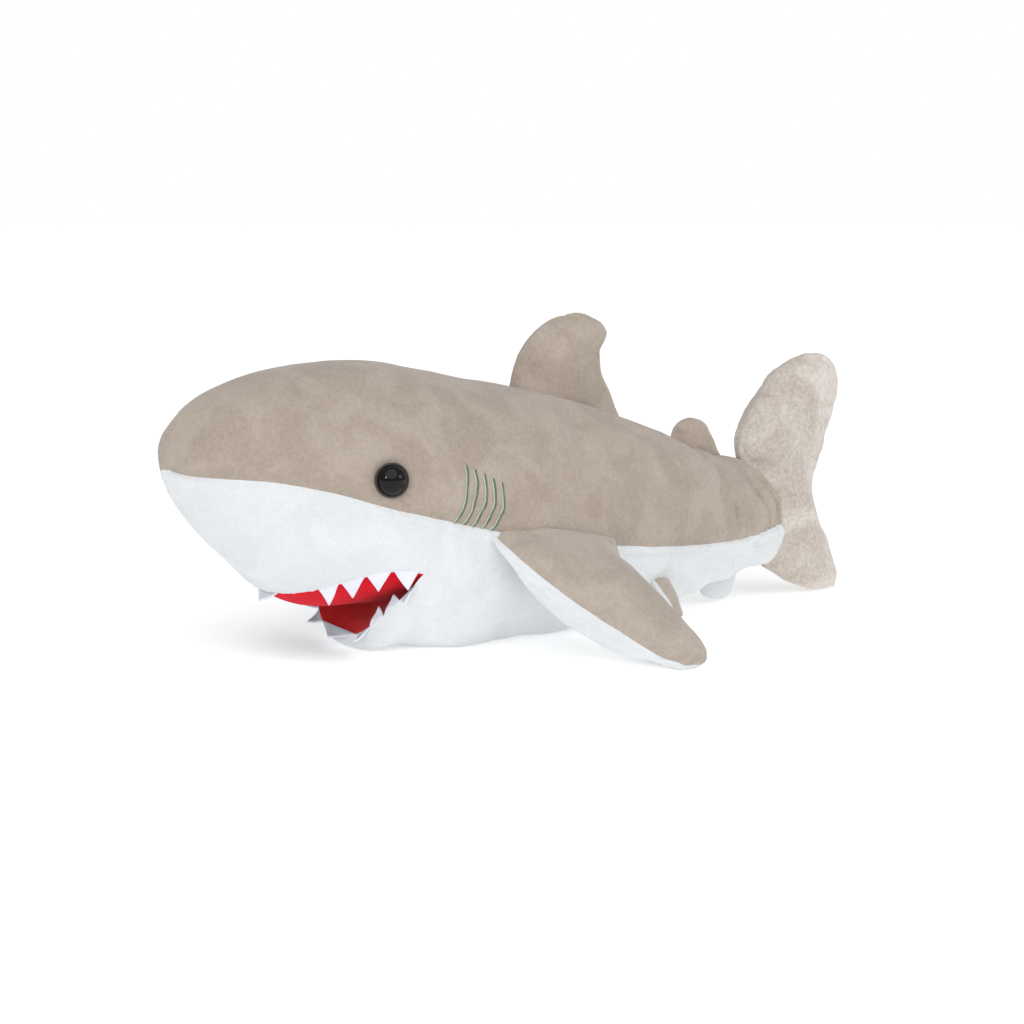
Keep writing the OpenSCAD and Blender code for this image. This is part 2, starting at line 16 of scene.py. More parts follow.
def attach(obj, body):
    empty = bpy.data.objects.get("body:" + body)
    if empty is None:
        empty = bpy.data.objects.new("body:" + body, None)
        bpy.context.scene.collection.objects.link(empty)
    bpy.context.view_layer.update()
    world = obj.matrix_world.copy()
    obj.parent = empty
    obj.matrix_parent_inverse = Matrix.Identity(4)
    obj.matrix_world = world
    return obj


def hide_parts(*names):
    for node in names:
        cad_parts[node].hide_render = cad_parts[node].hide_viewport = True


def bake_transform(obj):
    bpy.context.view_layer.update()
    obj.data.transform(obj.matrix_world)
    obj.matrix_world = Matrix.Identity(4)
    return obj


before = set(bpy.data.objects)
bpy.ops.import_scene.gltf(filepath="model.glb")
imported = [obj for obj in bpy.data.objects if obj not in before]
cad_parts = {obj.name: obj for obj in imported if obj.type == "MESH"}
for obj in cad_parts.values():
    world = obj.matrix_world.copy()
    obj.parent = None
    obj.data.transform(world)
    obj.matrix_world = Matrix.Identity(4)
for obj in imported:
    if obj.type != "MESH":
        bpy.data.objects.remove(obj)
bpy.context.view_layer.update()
MM = 0.001
SAME = 0.02 * MM  # points closer than this are one point

# %% [markdown]
# ## Camera, floor and light
# The camera stands in front of the shark's left side, a little above it, with a moderately long lens, so the
# near fin swells only slightly. A huge pale floor carries the soft contact shadows. Plush needs broad, soft
# light: a wide, very soft sun from above and behind the camera shapes it, a small panel to the front left puts
# a highlight in the eyes, a second panel from the right opens the shadows, and a white surround does the rest.

# %% Camera
camera_data = bpy.data.cameras.new("camera")
camera_data.lens = 72.42
camera_data.sensor_width = 36
camera = bpy.data.objects.new("camera", camera_data)
camera.location = (1.3276, -0.7840, 0.3166)
look_at = Vector((0, -0.0175, 0.0875))
camera.rotation_euler = (look_at - camera.location).to_track_quat("-Z", "Y").to_euler()
bpy.context.scene.collection.objects.link(camera)
bpy.context.scene.camera = camera
print("camera stands", round((look_at - camera.location).length, 3), "m away")

# %% Floor
def new_object(name, bm, smooth=True):
    mesh = bpy.data.meshes.new(name)
    bm.to_mesh(mesh)
    bm.free()
    obj = bpy.data.objects.new(name, mesh)
    bpy.context.scene.collection.objects.link(obj)
    if smooth:
        mesh.polygons.foreach_set("use_smooth", [True] * len(mesh.polygons))
    return obj


bm = bmesh.new()
bmesh.ops.create_circle(bm, cap_ends=True, segments=96, radius=30)
floor = new_object("floor", bm, smooth=False)
print("floor is 60 m across")

# %% Light
def soft_panel(name, place, aim, size, power):
    lamp = bpy.data.lights.new(name, "AREA")
    lamp.shape = "RECTANGLE"
    lamp.size, lamp.size_y = size
    lamp.energy = power
    holder = bpy.data.objects.new(name, lamp)
    holder.location = place
    holder.rotation_euler = (Vector(aim) - Vector(place)).to_track_quat("-Z", "Y").to_euler()
    bpy.context.scene.collection.objects.link(holder)
    return holder


soft_panel("window_panel", (0.95, -1.35, 0.75), (0.08, -0.16, 0.13), (0.2, 0.2), 3.2)
soft_panel("rim_panel", (1.6, 1.4, 0.9), (0, 0.15, 0.1), (0.9, 0.7), 4)

sky_lamp = bpy.data.lights.new("wide_key", "SUN")
sky_lamp.energy = 1.15
sky_lamp.angle = math.radians(70)
wide_key = bpy.data.objects.new("wide_key", sky_lamp)
wide_key.rotation_euler = Vector((-1.15, 0.35, -1.35)).to_track_quat("-Z", "Y").to_euler()
bpy.context.scene.collection.objects.link(wide_key)

world = bpy.data.worlds.new("studio")
world.use_nodes = True
sky = world.node_tree
sky.nodes["Background"].inputs["Color"].default_value = (0.97, 0.985, 1.0, 1)
sky.nodes["Background"].inputs["Strength"].default_value = 0.52
backdrop = sky.nodes.new("ShaderNodeBackground")
backdrop.inputs["Color"].default_value = (1, 1, 1, 1)
seen_or_lit = sky.nodes.new("ShaderNodeMixShader")
sky.links.new(sky.nodes.new("ShaderNodeLightPath").outputs["Is Camera Ray"], seen_or_lit.inputs[0])
sky.links.new(sky.nodes["Background"].outputs[0], seen_or_lit.inputs[1])
sky.links.new(backdrop.outputs[0], seen_or_lit.inputs[2])
sky.links.new(seen_or_lit.outputs[0], sky.nodes["World Output"].inputs["Surface"])
bpy.context.scene.world = world
bpy.context.scene.view_settings.view_transform = "Standard"
print("one wide key, two panels and a white surround")

# %% [markdown]
# ## Finishes
# All the plush is the same cloth in different dyes, so one node group describes it. Short pile shows three
# things: a fine grain of fibre tips, soft tufts a few millimetres wide, and larger patches where a hand has
# brushed the nap the other way, which look lighter or darker. The group puts out a colour and a height. The
# shader stays in each material, with a strong soft sheen, because light catches the fibre tips at the edges.

# %% Node group for short pile
def group_with(name, ins, outs):
    group = bpy.data.node_groups.new(name, "ShaderNodeTree")
    for label, kind, value in ins:
        socket = group.interface.new_socket(label, in_out="INPUT", socket_type=kind)
        socket.default_value = value
    for label, kind in outs:
        group.interface.new_socket(label, in_out="OUTPUT", socket_type=kind)
    return group, group.nodes.new("NodeGroupInput"), group.nodes.new("NodeGroupOutput")


def add_noise(tree, position, scale, detail, rough=0.5, distortion=0.0):
    node = tree.nodes.new("ShaderNodeTexNoise")
    node.inputs["Scale"].default_value = scale
    node.inputs["Detail"].default_value = detail
    node.inputs["Roughness"].default_value = rough
    node.inputs["Distortion"].default_value = distortion
    tree.links.new(position, node.inputs["Vector"])
    return node.outputs["Fac"]


def add_maths(tree, operation, a, b):
    node = tree.nodes.new("ShaderNodeMath")
    node.operation = operation
    for socket, value in zip(node.inputs, (a, b)):
        if isinstance(value, (int, float)):
            socket.default_value = value
        else:
            tree.links.new(value, socket)
    return node.outputs[0]


def add_blend(tree, a, share_a, b, share_b):
    """The sum of two values, each taken at its share."""
    part_a, part_b = add_maths(tree, "MULTIPLY", a, share_a), add_maths(tree, "MULTIPLY", b, share_b)
    return add_maths(tree, "ADD", part_a, part_b)


def add_range(tree, value, low, high, to_low=0.0, to_high=1.0):
    node = tree.nodes.new("ShaderNodeMapRange")
    node.interpolation_type = "SMOOTHSTEP"
    for label, number in (("From Min", low), ("From Max", high), ("To Min", to_low), ("To Max", to_high)):
        node.inputs[label].default_value = number
    tree.links.new(value, node.inputs["Value"])
    return node.outputs["Result"]


def add_mix(tree, share, a, b):
    node = tree.nodes.new("ShaderNodeMix")
    node.data_type = "RGBA"
    for label, value in ((0, share), (6, a), (7, b)):
        if isinstance(value, (int, float, tuple)):
            node.inputs[label].default_value = value
        else:
            tree.links.new(value, node.inputs[label])
    return node.outputs[2]


pile, given, result = group_with(
    "Short pile",
    [("Position", "NodeSocketVector", (0, 0, 0)), ("Nap up", "NodeSocketColor", (0.8, 0.8, 0.8, 1)),
     ("Nap down", "NodeSocketColor", (0.6, 0.6, 0.6, 1)), ("Patches", "NodeSocketFloat", 28.0),
     ("Contrast", "NodeSocketFloat", 0.6)],
    [("Color", "NodeSocketColor"), ("Height", "NodeSocketFloat")])
fibres = add_noise(pile, given.outputs["Position"], 1500, 2, 0.6)
tufts = add_noise(pile, given.outputs["Position"], 330, 3, 0.62, 0.4)
patches = pile.nodes.new("ShaderNodeTexNoise")
patches.inputs["Detail"].default_value = 3
patches.inputs["Distortion"].default_value = 0.7
pile.links.new(given.outputs["Position"], patches.inputs["Vector"])
pile.links.new(given.outputs["Patches"], patches.inputs["Scale"])
brushed = add_range(pile, patches.outputs["Fac"], 0.36, 0.64)
grain = add_range(pile, tufts, 0.32, 0.68)
shade = add_blend(pile, brushed, 0.55, grain, 0.45)
shade = add_maths(pile, "MULTIPLY", shade, given.outputs["Contrast"])
pile.links.new(add_mix(pile, shade, given.outputs["Nap up"], given.outputs["Nap down"]), result.inputs["Color"])
pile.links.new(add_blend(pile, tufts, 0.7, fibres, 0.3), result.inputs["Height"])
print("short pile group has", len(pile.nodes), "nodes")

# %% Plush in its four dyes
def srgb(r, g, b):
    """A screen colour, 0 to 255 in each channel, as the linear values that a shader takes."""
    shares = (r / 255, g / 255, b / 255)
    return tuple(c / 12.92 if c <= 0.04045 else ((c + 0.055) / 1.055) ** 2.4 for c in shares) + (1,)


def start_material(name, roughness):
    material = bpy.data.materials.new(name)
    material.use_nodes = True
    tree = material.node_tree
    shader = tree.nodes["Principled BSDF"]
    shader.inputs["Roughness"].default_value = roughness
    place = tree.nodes.new("ShaderNodeTexCoord").outputs["Object"]
    return material, tree, shader, place


def raise_surface(tree, shader, height, strength, distance):
    bump = tree.nodes.new("ShaderNodeBump")
    bump.inputs["Strength"].default_value = strength
    bump.inputs["Distance"].default_value = distance
    tree.links.new(height, bump.inputs["Height"])
    tree.links.new(bump.outputs["Normal"], shader.inputs["Normal"])


def add_cloth(tree, shader, place, group, settings, strength, depth):
    """Give the shader the colour and the relief of a node group, with the group's inputs from settings."""
    cloth = tree.nodes.new("ShaderNodeGroup")
    cloth.node_tree = group
    tree.links.new(place, cloth.inputs["Position"])
    for label, value in settings.items():
        cloth.inputs[label].default_value = value
    tree.links.new(cloth.outputs["Color"], shader.inputs["Base Color"])
    raise_surface(tree, shader, cloth.outputs["Height"], strength, depth)


def plush(name, nap_up, nap_down, patches=28.0, contrast=0.8):
    material, tree, shader, place = start_material(name, 0.95)
    shader.inputs["Specular IOR Level"].default_value = 0.1
    shader.inputs["Sheen Weight"].default_value = 0.35
    shader.inputs["Sheen Roughness"].default_value = 0.45
    dyes = {"Nap up": nap_up, "Nap down": nap_down, "Patches": patches, "Contrast": contrast}
    add_cloth(tree, shader, place, pile, dyes, 0.55, 0.0016)
    return material


taupe_plush = plush("taupe plush", srgb(183, 170, 158), srgb(158, 144, 131))
tail_plush = plush("tail plush", srgb(220, 213, 205), srgb(174, 162, 151), patches=20, contrast=0.9)
fin_plush = plush("fin plush", srgb(186, 174, 163), srgb(162, 149, 137), patches=24)
white_plush = plush("white plush", srgb(227, 229, 231), srgb(212, 216, 217), contrast=0.7)
print("four plush materials")

# %% [markdown]
# Felt is pressed fibre, with no weave and no nap: a fine random tangle, slightly darker where it is thin. The
# thread is a satin stitch, so its sheen matters more than its grain. The eye is polished black plastic.

# %% Felt, thread and plastic
felt_fibre, given, result = group_with(
    "Felt tangle", [("Position", "NodeSocketVector", (0, 0, 0)), ("Dye", "NodeSocketColor", (0.8, 0.8, 0.8, 1)),
                    ("Thin", "NodeSocketColor", (0.5, 0.5, 0.5, 1))],
    [("Color", "NodeSocketColor"), ("Height", "NodeSocketFloat")])
tangle = add_noise(felt_fibre, given.outputs["Position"], 900, 4, 0.7, 1.2)
clumps = add_noise(felt_fibre, given.outputs["Position"], 120, 3, 0.6)
dense = add_range(felt_fibre, add_blend(felt_fibre, tangle, 0.5, clumps, 0.5), 0.35, 0.65)
felt_colour = add_mix(felt_fibre, dense, given.outputs["Thin"], given.outputs["Dye"])
felt_fibre.links.new(felt_colour, result.inputs["Color"])
felt_fibre.links.new(tangle, result.inputs["Height"])


def felt(name, dye, thin):
    material, tree, shader, place = start_material(name, 0.9)
    shader.inputs["Specular IOR Level"].default_value = 0.05
    shader.inputs["Sheen Weight"].default_value = 0.08
    add_cloth(tree, shader, place, felt_fibre, {"Dye": dye, "Thin": thin}, 0.4, 0.0006)
    return material


# The lining's red is the felt's dye painted lighter and pinker, for the light the upward-facing lining catches;
# the palate's red is the dye itself.
red_felt = felt("red felt", srgb(246, 40, 44), srgb(230, 30, 34))
palate_felt = felt("palate felt", srgb(226, 8, 36), srgb(204, 4, 28))
white_felt = felt("white felt", srgb(236, 236, 244), srgb(220, 220, 234))


def thread(name, painted_shade, light):
    material, tree, shader, place = start_material(name, 0.5)
    shader.inputs["Sheen Weight"].default_value = 0.3
    twist = tree.nodes.new("ShaderNodeTexWave")
    twist.bands_direction = "DIAGONAL"
    twist.inputs["Scale"].default_value = 420
    twist.inputs["Distortion"].default_value = 1.5
    tree.links.new(place, twist.inputs["Vector"])
    # The twist's colour follows its bump: painted shade in the low grooves and a painted highlight on the raised
    # ridges.
    tree.links.new(add_mix(tree, twist.outputs["Fac"], painted_shade, light), shader.inputs["Base Color"])
    raise_surface(tree, shader, twist.outputs["Fac"], 0.5, 0.0003)
    return material


# The pale thread is the gill thread's own green painted lighter, a painted highlight. The dark thread is painted
# shadow, for the stitches set where each raised line casts its shadow.
gill_thread_painted_highlight = thread("gill thread with painted highlight", srgb(176, 186, 166), srgb(204, 212, 194))
gill_painted_shadow_thread = thread("gill thread as painted shadow", srgb(84, 100, 82), srgb(122, 136, 116))

eye_black, tree, shader, place = start_material("black eye plastic", 0.08)
shader.inputs["Specular IOR Level"].default_value = 0.28
cast = add_noise(tree, place, 160, 3)
tree.links.new(add_mix(tree, cast, srgb(4, 3, 3), srgb(9, 7, 6)), shader.inputs["Base Color"])
tree.links.new(add_range(tree, cast, 0.3, 0.7, 0.06, 0.12), shader.inputs["Roughness"])

eye_brown, tree, shader, place = start_material("brown eye rim", 0.3)
rim_colour = add_mix(tree, add_noise(tree, place, 300, 3), srgb(34, 26, 24), srgb(52, 41, 38))
tree.links.new(rim_colour, shader.inputs["Base Color"])
tree.links.new(add_range(tree, add_noise(tree, place, 500, 2), 0.3, 0.7, 0.25, 0.4), shader.inputs["Roughness"])

stage_white, tree, shader, place = start_material("pale floor", 0.85)
floor_colour = add_mix(tree, add_noise(tree, place, 3, 2), srgb(254, 254, 254), srgb(255, 255, 255))
tree.links.new(floor_colour, shader.inputs["Base Color"])
shader.inputs["Emission Color"].default_value = (1, 1, 1, 1)
shader.inputs["Emission Strength"].default_value = 0.3
floor.data.materials.append(stage_white)
print(len(bpy.data.materials), "materials")

# %% [markdown]
# ## The shape of the body
# A stuffed body is set out like a boat hull: at a few stations behind the nose its top, bottom, half width,
# widest height and side seam are known, and smooth curves join them. The sections are a little boxier than an
# ellipse, and flattened on the ground, because the toy sags onto its belly. Towards the tail the sections lean
# until they match the curved seam of the tail fin.

# %% Body stations in millimetres
NOSE_Y = -295
STATIONS = np.array([  # distance behind the nose, top, bottom, half width, widest height, seam height
    (0, 150, 136, 4, 144, 138), (10, 168, 116, 25, 143, 135), (30, 184, 88, 45, 140, 134),
    (55, 196, 62, 60, 136, 132), (76, 202, 46, 70, 132, 128), (105, 205, 32, 79, 127, 120),
    (135, 206, 15, 86, 121, 110), (165, 203, 0, 91, 115, 102), (195, 197, -12, 93, 109, 94),
    (240, 188, -14, 93, 101, 83), (280, 180, -13, 90, 96, 75), (320, 170, -10, 85, 91, 69),
    (360, 159, -3, 78, 87, 64), (400, 147, 4, 68, 83, 60), (440, 137, 11, 55, 77, 58),
    (475, 130, 17, 41, 73, 58), (505, 121, 23, 26, 71, 60), (525, 115, 27, 16, 70, 62)], float)
TOP, BOTTOM, HALF_WIDTH, WIDEST, SEAM = 1, 2, 3, 4, 5
LAST = len(STATIONS) - 1
TAIL_ROOT = 525
steps = np.diff(STATIONS[:, 0])
SLOPES = np.array([(STATIONS[min(i + 1, LAST)] - STATIONS[max(i - 1, 0)])
                   / (STATIONS[min(i + 1, LAST), 0] - STATIONS[max(i - 1, 0), 0]) for i in range(LAST + 1)])


def along(column, s):
    """A smooth curve through one column of the stations, at distance s behind the nose."""
    i = int(np.clip(np.searchsorted(STATIONS[:, 0], s, side="right") - 1, 0, LAST - 1))
    t = (s - STATIONS[i, 0]) / steps[i]
    return ((2 * t**3 - 3 * t**2 + 1) * STATIONS[i, column]
            + (t**3 - 2 * t**2 + t) * steps[i] * SLOPES[i, column]
            + (3 * t**2 - 2 * t**3) * STATIONS[i + 1, column]
            + (t**3 - t**2) * steps[i] * SLOPES[i + 1, column])


print("half width at the shoulders", round(along(HALF_WIDTH, 210), 1), "mm")

# %% Sections, and the lean towards the tail seam
BOXY = 0.92
LEAN_START = 400
TAIL_SEAM_TOP, TAIL_SEAM_BOTTOM, TAIL_BULGE = (488, 115), (515, 27), 20


def power(v, p):
    return math.copysign(abs(v) ** p, v)


def section(s, a):
    """Half width and height of the body at s, at angle a in degrees: 90 is the top, -90 the bottom."""
    middle = along(WIDEST, s)
    reach = along(TOP, s) - middle if a > 0 else middle - along(BOTTOM, s)
    a = math.radians(a)
    return along(HALF_WIDTH, s) * power(math.cos(a), BOXY), max(middle + reach * power(math.sin(a), BOXY), 0)


def angle_at(s, z):
    middle = along(WIDEST, s)
    reach = along(TOP, s) - middle if z > middle else middle - along(BOTTOM, s)
    turn = math.degrees(math.asin(min(1, (abs(z - middle) / reach) ** (1 / BOXY))))
    return turn if z > middle else -turn


def tail_seam_s(z):
    t = (z - TAIL_SEAM_BOTTOM[1]) / (TAIL_SEAM_TOP[1] - TAIL_SEAM_BOTTOM[1])
    return TAIL_SEAM_BOTTOM[0] + (TAIL_SEAM_TOP[0] - TAIL_SEAM_BOTTOM[0]) * t + 4 * TAIL_BULGE * t * (1 - t)


def skin(s, a, side=1):
    """A point of the smooth body in metres."""
    x, z = section(s, a)
    lean = 0
    if s > LEAN_START:
        lean = ((s - LEAN_START) / (TAIL_ROOT - LEAN_START)) ** 1.5 * (tail_seam_s(z) - TAIL_ROOT)
    return Vector((side * x, NOSE_Y + s + lean, z)) * MM


def on_side(s, z, side=1):
    return skin(s, angle_at(s, z), side)


def outward(s, z, side=1, near=4):
    along_body = on_side(s + near, z) - on_side(s - near, z)
    n = along_body.cross(on_side(s, z + near) - on_side(s, z - near)).normalized()
    return Vector((side * n.x, n.y, n.z))


print("tail seam bulges to", round(tail_seam_s(63), 1), "mm behind the nose")

# %% Lips
LIP_FRONT, CORNER, THROAT_REAR = 76, 165, 200
LIP_FRONT_Z, CORNER_Z, LIP_ARCH, PALATE_SAG = 47, 62, 8, 15


def lip_z(s):
    t = max((s - LIP_FRONT) / (CORNER - LIP_FRONT), 0)
    return LIP_FRONT_Z + (CORNER_Z - LIP_FRONT_Z) * t**0.9 + LIP_ARCH * math.sin(math.pi * min(t, 1) ** 1.6)


def cheek_angle(s):
    """Where the cheek ends: on the lip at the mouth, and along a line under the cheek behind it."""
    if s < LIP_FRONT:
        return angle_at(LIP_FRONT, LIP_FRONT_Z) + 0.35 * (LIP_FRONT - s)
    if s <= CORNER:
        return angle_at(s, lip_z(s))
    return angle_at(min(s, THROAT_REAR), CORNER_Z - 0.6 * (min(s, THROAT_REAR) - CORNER))


def palate_z(s):
    share = min((s - LIP_FRONT) / (CORNER - LIP_FRONT), 0.5)
    return LIP_FRONT_Z - PALATE_SAG * math.sin(math.pi * share) ** 0.7


def hammock(edge_x, edge_z, middle_z, v):
    """Cloth hung between two lips: v runs from -1 at one lip to 1 at the other."""
    return edge_x * v, middle_z + (edge_z - middle_z) * abs(v) ** 1.9


print("mouth corner is", round(section(CORNER, cheek_angle(CORNER))[0], 1), "mm from the middle")

# %% [markdown]
# ## The skin of the body
# The skin could be sculpted, but real panels are cut flat and sewn. So one flat grid is cut, rolled into a tube
# and moved to the sections, with its columns counted so that the side seams, the lips and the line under the
# cheek each fall on one column. Faces keep a panel number, so the tube can be simulated closed, as a stuffed
# skin is, and only then cut into the pieces that carry their own cloth.

# %% Cut and roll the tube
BACK_COLS, CHEEK_COLS, UNDER_COLS = 56, 16, 28
RING = BACK_COLS + 2 * CHEEK_COLS + UNDER_COLS
BACK, WHITE, PALATE, THROAT, CHIN = range(5)
HAIR = 0.001  # a hair's breadth that keeps two rows apart where the mouth opens
RIGHT_LIP, LEFT_LIP = BACK_COLS + CHEEK_COLS, BACK_COLS + CHEEK_COLS + UNDER_COLS
FOLDS_FROM = 440  # the rows are twice as close from here, where the tail folds are
body_rows = ([0, 1.2, 3.2, 6, 9.5, 13.5, 18, 23, 28, 33, 38, 43, 48, 53, 58, 63, 67.5, 72, LIP_FRONT]
             + [LIP_FRONT + HAIR] + [LIP_FRONT + (CORNER - LIP_FRONT) * k / 18 for k in range(1, 18)]
             + [CORNER - 0.2, CORNER] + [CORNER + (THROAT_REAR - CORNER) * k / 7 for k in range(1, 8)]
             + [THROAT_REAR + 5 * k for k in range(1, 49)] + [FOLDS_FROM + 2.5 * k for k in range(1, 34)]
             + [TAIL_ROOT])


def tube_point(s, c, open_mouth):
    seam, cheek = angle_at(s, along(SEAM, s)), cheek_angle(s)
    if c <= BACK_COLS:
        return skin(s, seam + (180 - 2 * seam) * c / BACK_COLS)
    if c <= RIGHT_LIP:
        return skin(s, seam + (cheek - seam) * (c - BACK_COLS) / CHEEK_COLS, -1)
    if c >= LEFT_LIP:
        return skin(s, cheek + (seam - cheek) * (c - LEFT_LIP) / CHEEK_COLS)
    v = -1 + 2 * (c - RIGHT_LIP) / UNDER_COLS
    if open_mouth:
        lip_x = section(s, cheek)[0]
        x, z = hammock(lip_x, lip_z(s), palate_z(s), v)
        return Vector((x, NOSE_Y + s, z)) * MM
    return skin(s, -90 + (90 + cheek) * abs(v), 1 if v > 0 else -1)


def panel_of(c, s):
    if c < BACK_COLS:
        return BACK
    if c < RIGHT_LIP or c >= LEFT_LIP or s < LIP_FRONT or s > THROAT_REAR:
        return WHITE
    return PALATE if s < CORNER - 0.1 else (THROAT if s < CORNER + 0.1 else CHIN)


bm = bmesh.new()
last = len(body_rows) - 1
bmesh.ops.create_grid(bm, x_segments=RING, y_segments=last, size=0.5)
for f in bm.faces:
    middle = f.calc_center_median()
    c, r = int((middle.x + 0.5) * RING), int((middle.y + 0.5) * last)
    f.material_index = panel_of(c, (body_rows[r] + body_rows[r + 1]) / 2)
at_s, at_seam = bm.verts.layers.float.new("body_s"), bm.verts.layers.float.new("from_seam")
pin = bm.verts.layers.deform.verify()
for v in bm.verts:
    c, r = round((v.co.x + 0.5) * RING), round((v.co.y + 0.5) * last)
    s = body_rows[r]
    v.co = tube_point(s, c, LIP_FRONT < s < CORNER)
    step = along(HALF_WIDTH, s) * 3.1 / BACK_COLS
    v[at_s] = s
    v[at_seam] = (min(c, BACK_COLS - c) if c <= BACK_COLS else -min(c - BACK_COLS, RING - c)) * step
    round_mouth = RIGHT_LIP <= c <= LEFT_LIP and LIP_FRONT - 4 < s <= THROAT_REAR
    held = c in (0, BACK_COLS, RING) or round_mouth or s < 3 or s > TAIL_ROOT - 1
    v[pin][0] = 1.0 if held else 0.0
bmesh.ops.remove_doubles(bm, verts=bm.verts, dist=SAME)
bmesh.ops.holes_fill(bm, edges=[e for e in bm.edges if e.is_boundary], sides=0)
bmesh.ops.recalc_face_normals(bm, faces=bm.faces)
print("tube has", len(bm.verts), "points")
body_tube = new_object("body_tube", bm)
body_tube.vertex_groups.new(name="stitched")

# %% [markdown]
# ## Stuffing
# Fibre filling pushes the cloth out everywhere except where thread holds it, and that is what makes plush look
# plump between its seams. A cloth simulation does the same: pressure from inside, no gravity, the stitched
# columns held, and the cloth cut a little too large so that it gathers. A limit on how far any point may move
# keeps each piece in the space it was measured to fill.

# %% Blow up a sewn shell
def stuff(obj, pressure, limit, spare=0.02, frames=20):
    """Simulate the shell, keep the result, and return the largest move in millimetres."""
    cloth = obj.modifiers.new("stuffing", "CLOTH")
    cloth.point_cache.frame_end = frames
    cloth.settings.vertex_group_mass = "stitched"
    cloth.settings.use_pressure = True
    cloth.settings.uniform_pressure_force = pressure
    cloth.settings.effector_weights.gravity = 0
    cloth.settings.shrink_min = -spare
    cloth.settings.quality = 5
    cloth.collision_settings.use_collision = False
    for f in range(1, frames + 1):
        bpy.context.scene.frame_set(f)
    stuffed = obj.evaluated_get(bpy.context.evaluated_depsgraph_get())
    largest = 0
    for v, w in zip(obj.data.vertices, [w.co.copy() for w in stuffed.data.vertices]):
        move = w - v.co
        largest = max(largest, move.length)
        v.co += move * (limit / max(limit, move.length))
    obj.modifiers.remove(cloth)
    bpy.context.scene.frame_set(1)
    return round(largest / MM, 1)


def smooth_once(obj):
    """Apply one level of subdivision."""
    finer = obj.modifiers.new("finer", "SUBSURF")
    finer.levels = finer.render_levels = 1
    mesh = bpy.data.meshes.new_from_object(obj.evaluated_get(bpy.context.evaluated_depsgraph_get()))
    obj.modifiers.remove(finer)
    obj.data = mesh


print("body skin moved up to", stuff(body_tube, 4, 5 * MM, 0.012), "mm")
smooth_once(body_tube)

# %% [markdown]
# Seams and folds come after the stuffing. A seam is a narrow valley where the thread pulls both panels in, and
# the cloth puckers across it every few millimetres. Folds gather where a fin is sewn on and where the body
# narrows quickly. Each fold is a line pressed into the skin with a soft shoulder on either side.

# %% Seam valleys and pressed folds
def pull_in(obj, depth_at):
    """Move every point along its own normal by depth_at(vertex, number) millimetres."""
    normals = [v.normal.copy() for v in obj.data.vertices]
    for i, v in enumerate(obj.data.vertices):
        v.co -= normals[i] * depth_at(v, i) * MM
    obj.data.update()


def seam_depth(distance, where, depth=1.9, width=2.6):
    """Valley and puckers at a distance in millimetres from a seam; where runs along the seam."""
    ruck = math.sin(where * 0.72 + 2.2 * math.sin(where * 0.11)) * 0.45
    beside, beyond = (abs(distance) - 4) / 3.2, (abs(distance) - 8) / 4
    return (depth * math.exp(-(distance / width) ** 2)
            + ruck * math.exp(-beside ** 2) - 0.7 * math.exp(-beyond ** 2))


def fold_depth(point, line, depth, width):
    """How deep a fold along a line of points presses at a point, with a raised shoulder beyond it."""
    best, share = 1e9, 0
    for k in range(len(line) - 1):
        a, b = line[k], line[k + 1]
        t = max(0, min(1, (point - a).dot(b - a) / (b - a).length_squared))
        d = (point - a - (b - a) * t).length
        if d < best:
            best, share = d, (k + t) / (len(line) - 1)
    d = best / MM / width
    taper = math.sin(math.pi * min(max(share, 0.02), 0.98)) ** 0.6
    return taper * depth * (math.exp(-d * d) - 0.45 * math.exp(-((d - 2.1) / 0.9) ** 2))


body_s = [d.value for d in body_tube.data.attributes["body_s"].data]
from_seam = [d.value for d in body_tube.data.attributes["from_seam"].data]
folds = []  # line, depth, width
for side in (1, -1):
    for back, depth in ((8, 3.0), (25, 3.6)):  # curved folds beside the tail seam
        folds.append(([on_side(TAIL_ROOT - 2 - back, z, side) for z in range(46, 107, 12)], depth, 1.9))
    for (s1, z1), (s2, z2), depth, width in (
            ((478, 24), (448, 50), 2.6, 5), ((452, 16), (415, 44), 2.4, 6), ((418, 12), (388, 34), 1.8, 6),
            ((452, 60), (455, 96), 2.2, 2.4), ((470, 62), (473, 104), 1.6, 2.6),
            ((498, 40), (470, 58), 2.4, 2.6), ((486, 30), (462, 50), 2.2, 3), ((436, 62), (440, 84), 1.6, 2.6),
            ((166, 62), (186, 46), 2.4, 4.5), ((170, 66), (196, 62), 1.4, 4.5),
            ((196, 104), (222, 98), 1.6, 3.5), ((330, 64), (352, 84), 1.5, 6), ((376, 128), (396, 104), 1.3, 7),
            ((262, 168), (275, 150), 1.2, 6)):
        folds.append(([on_side(s1 + (s2 - s1) * t / 4, z1 + (z2 - z1) * t / 4 + 2 * side * math.sin(t), side)
                       for t in range(5)], depth, width))
REACH = 0.02  # how far from its line a fold is felt
boxes = [(Vector([min(p[k] for p in line) - REACH for k in range(3)]),
          Vector([max(p[k] for p in line) + REACH for k in range(3)])) for line, _, _ in folds]
EYE_S, EYE_Z = 134, 131
SETTLE = 3.2


def ease(t):
    """Rise smoothly from 0 to 1."""
    t = min(1, max(0, t))
    return t * t * (3 - 2 * t)


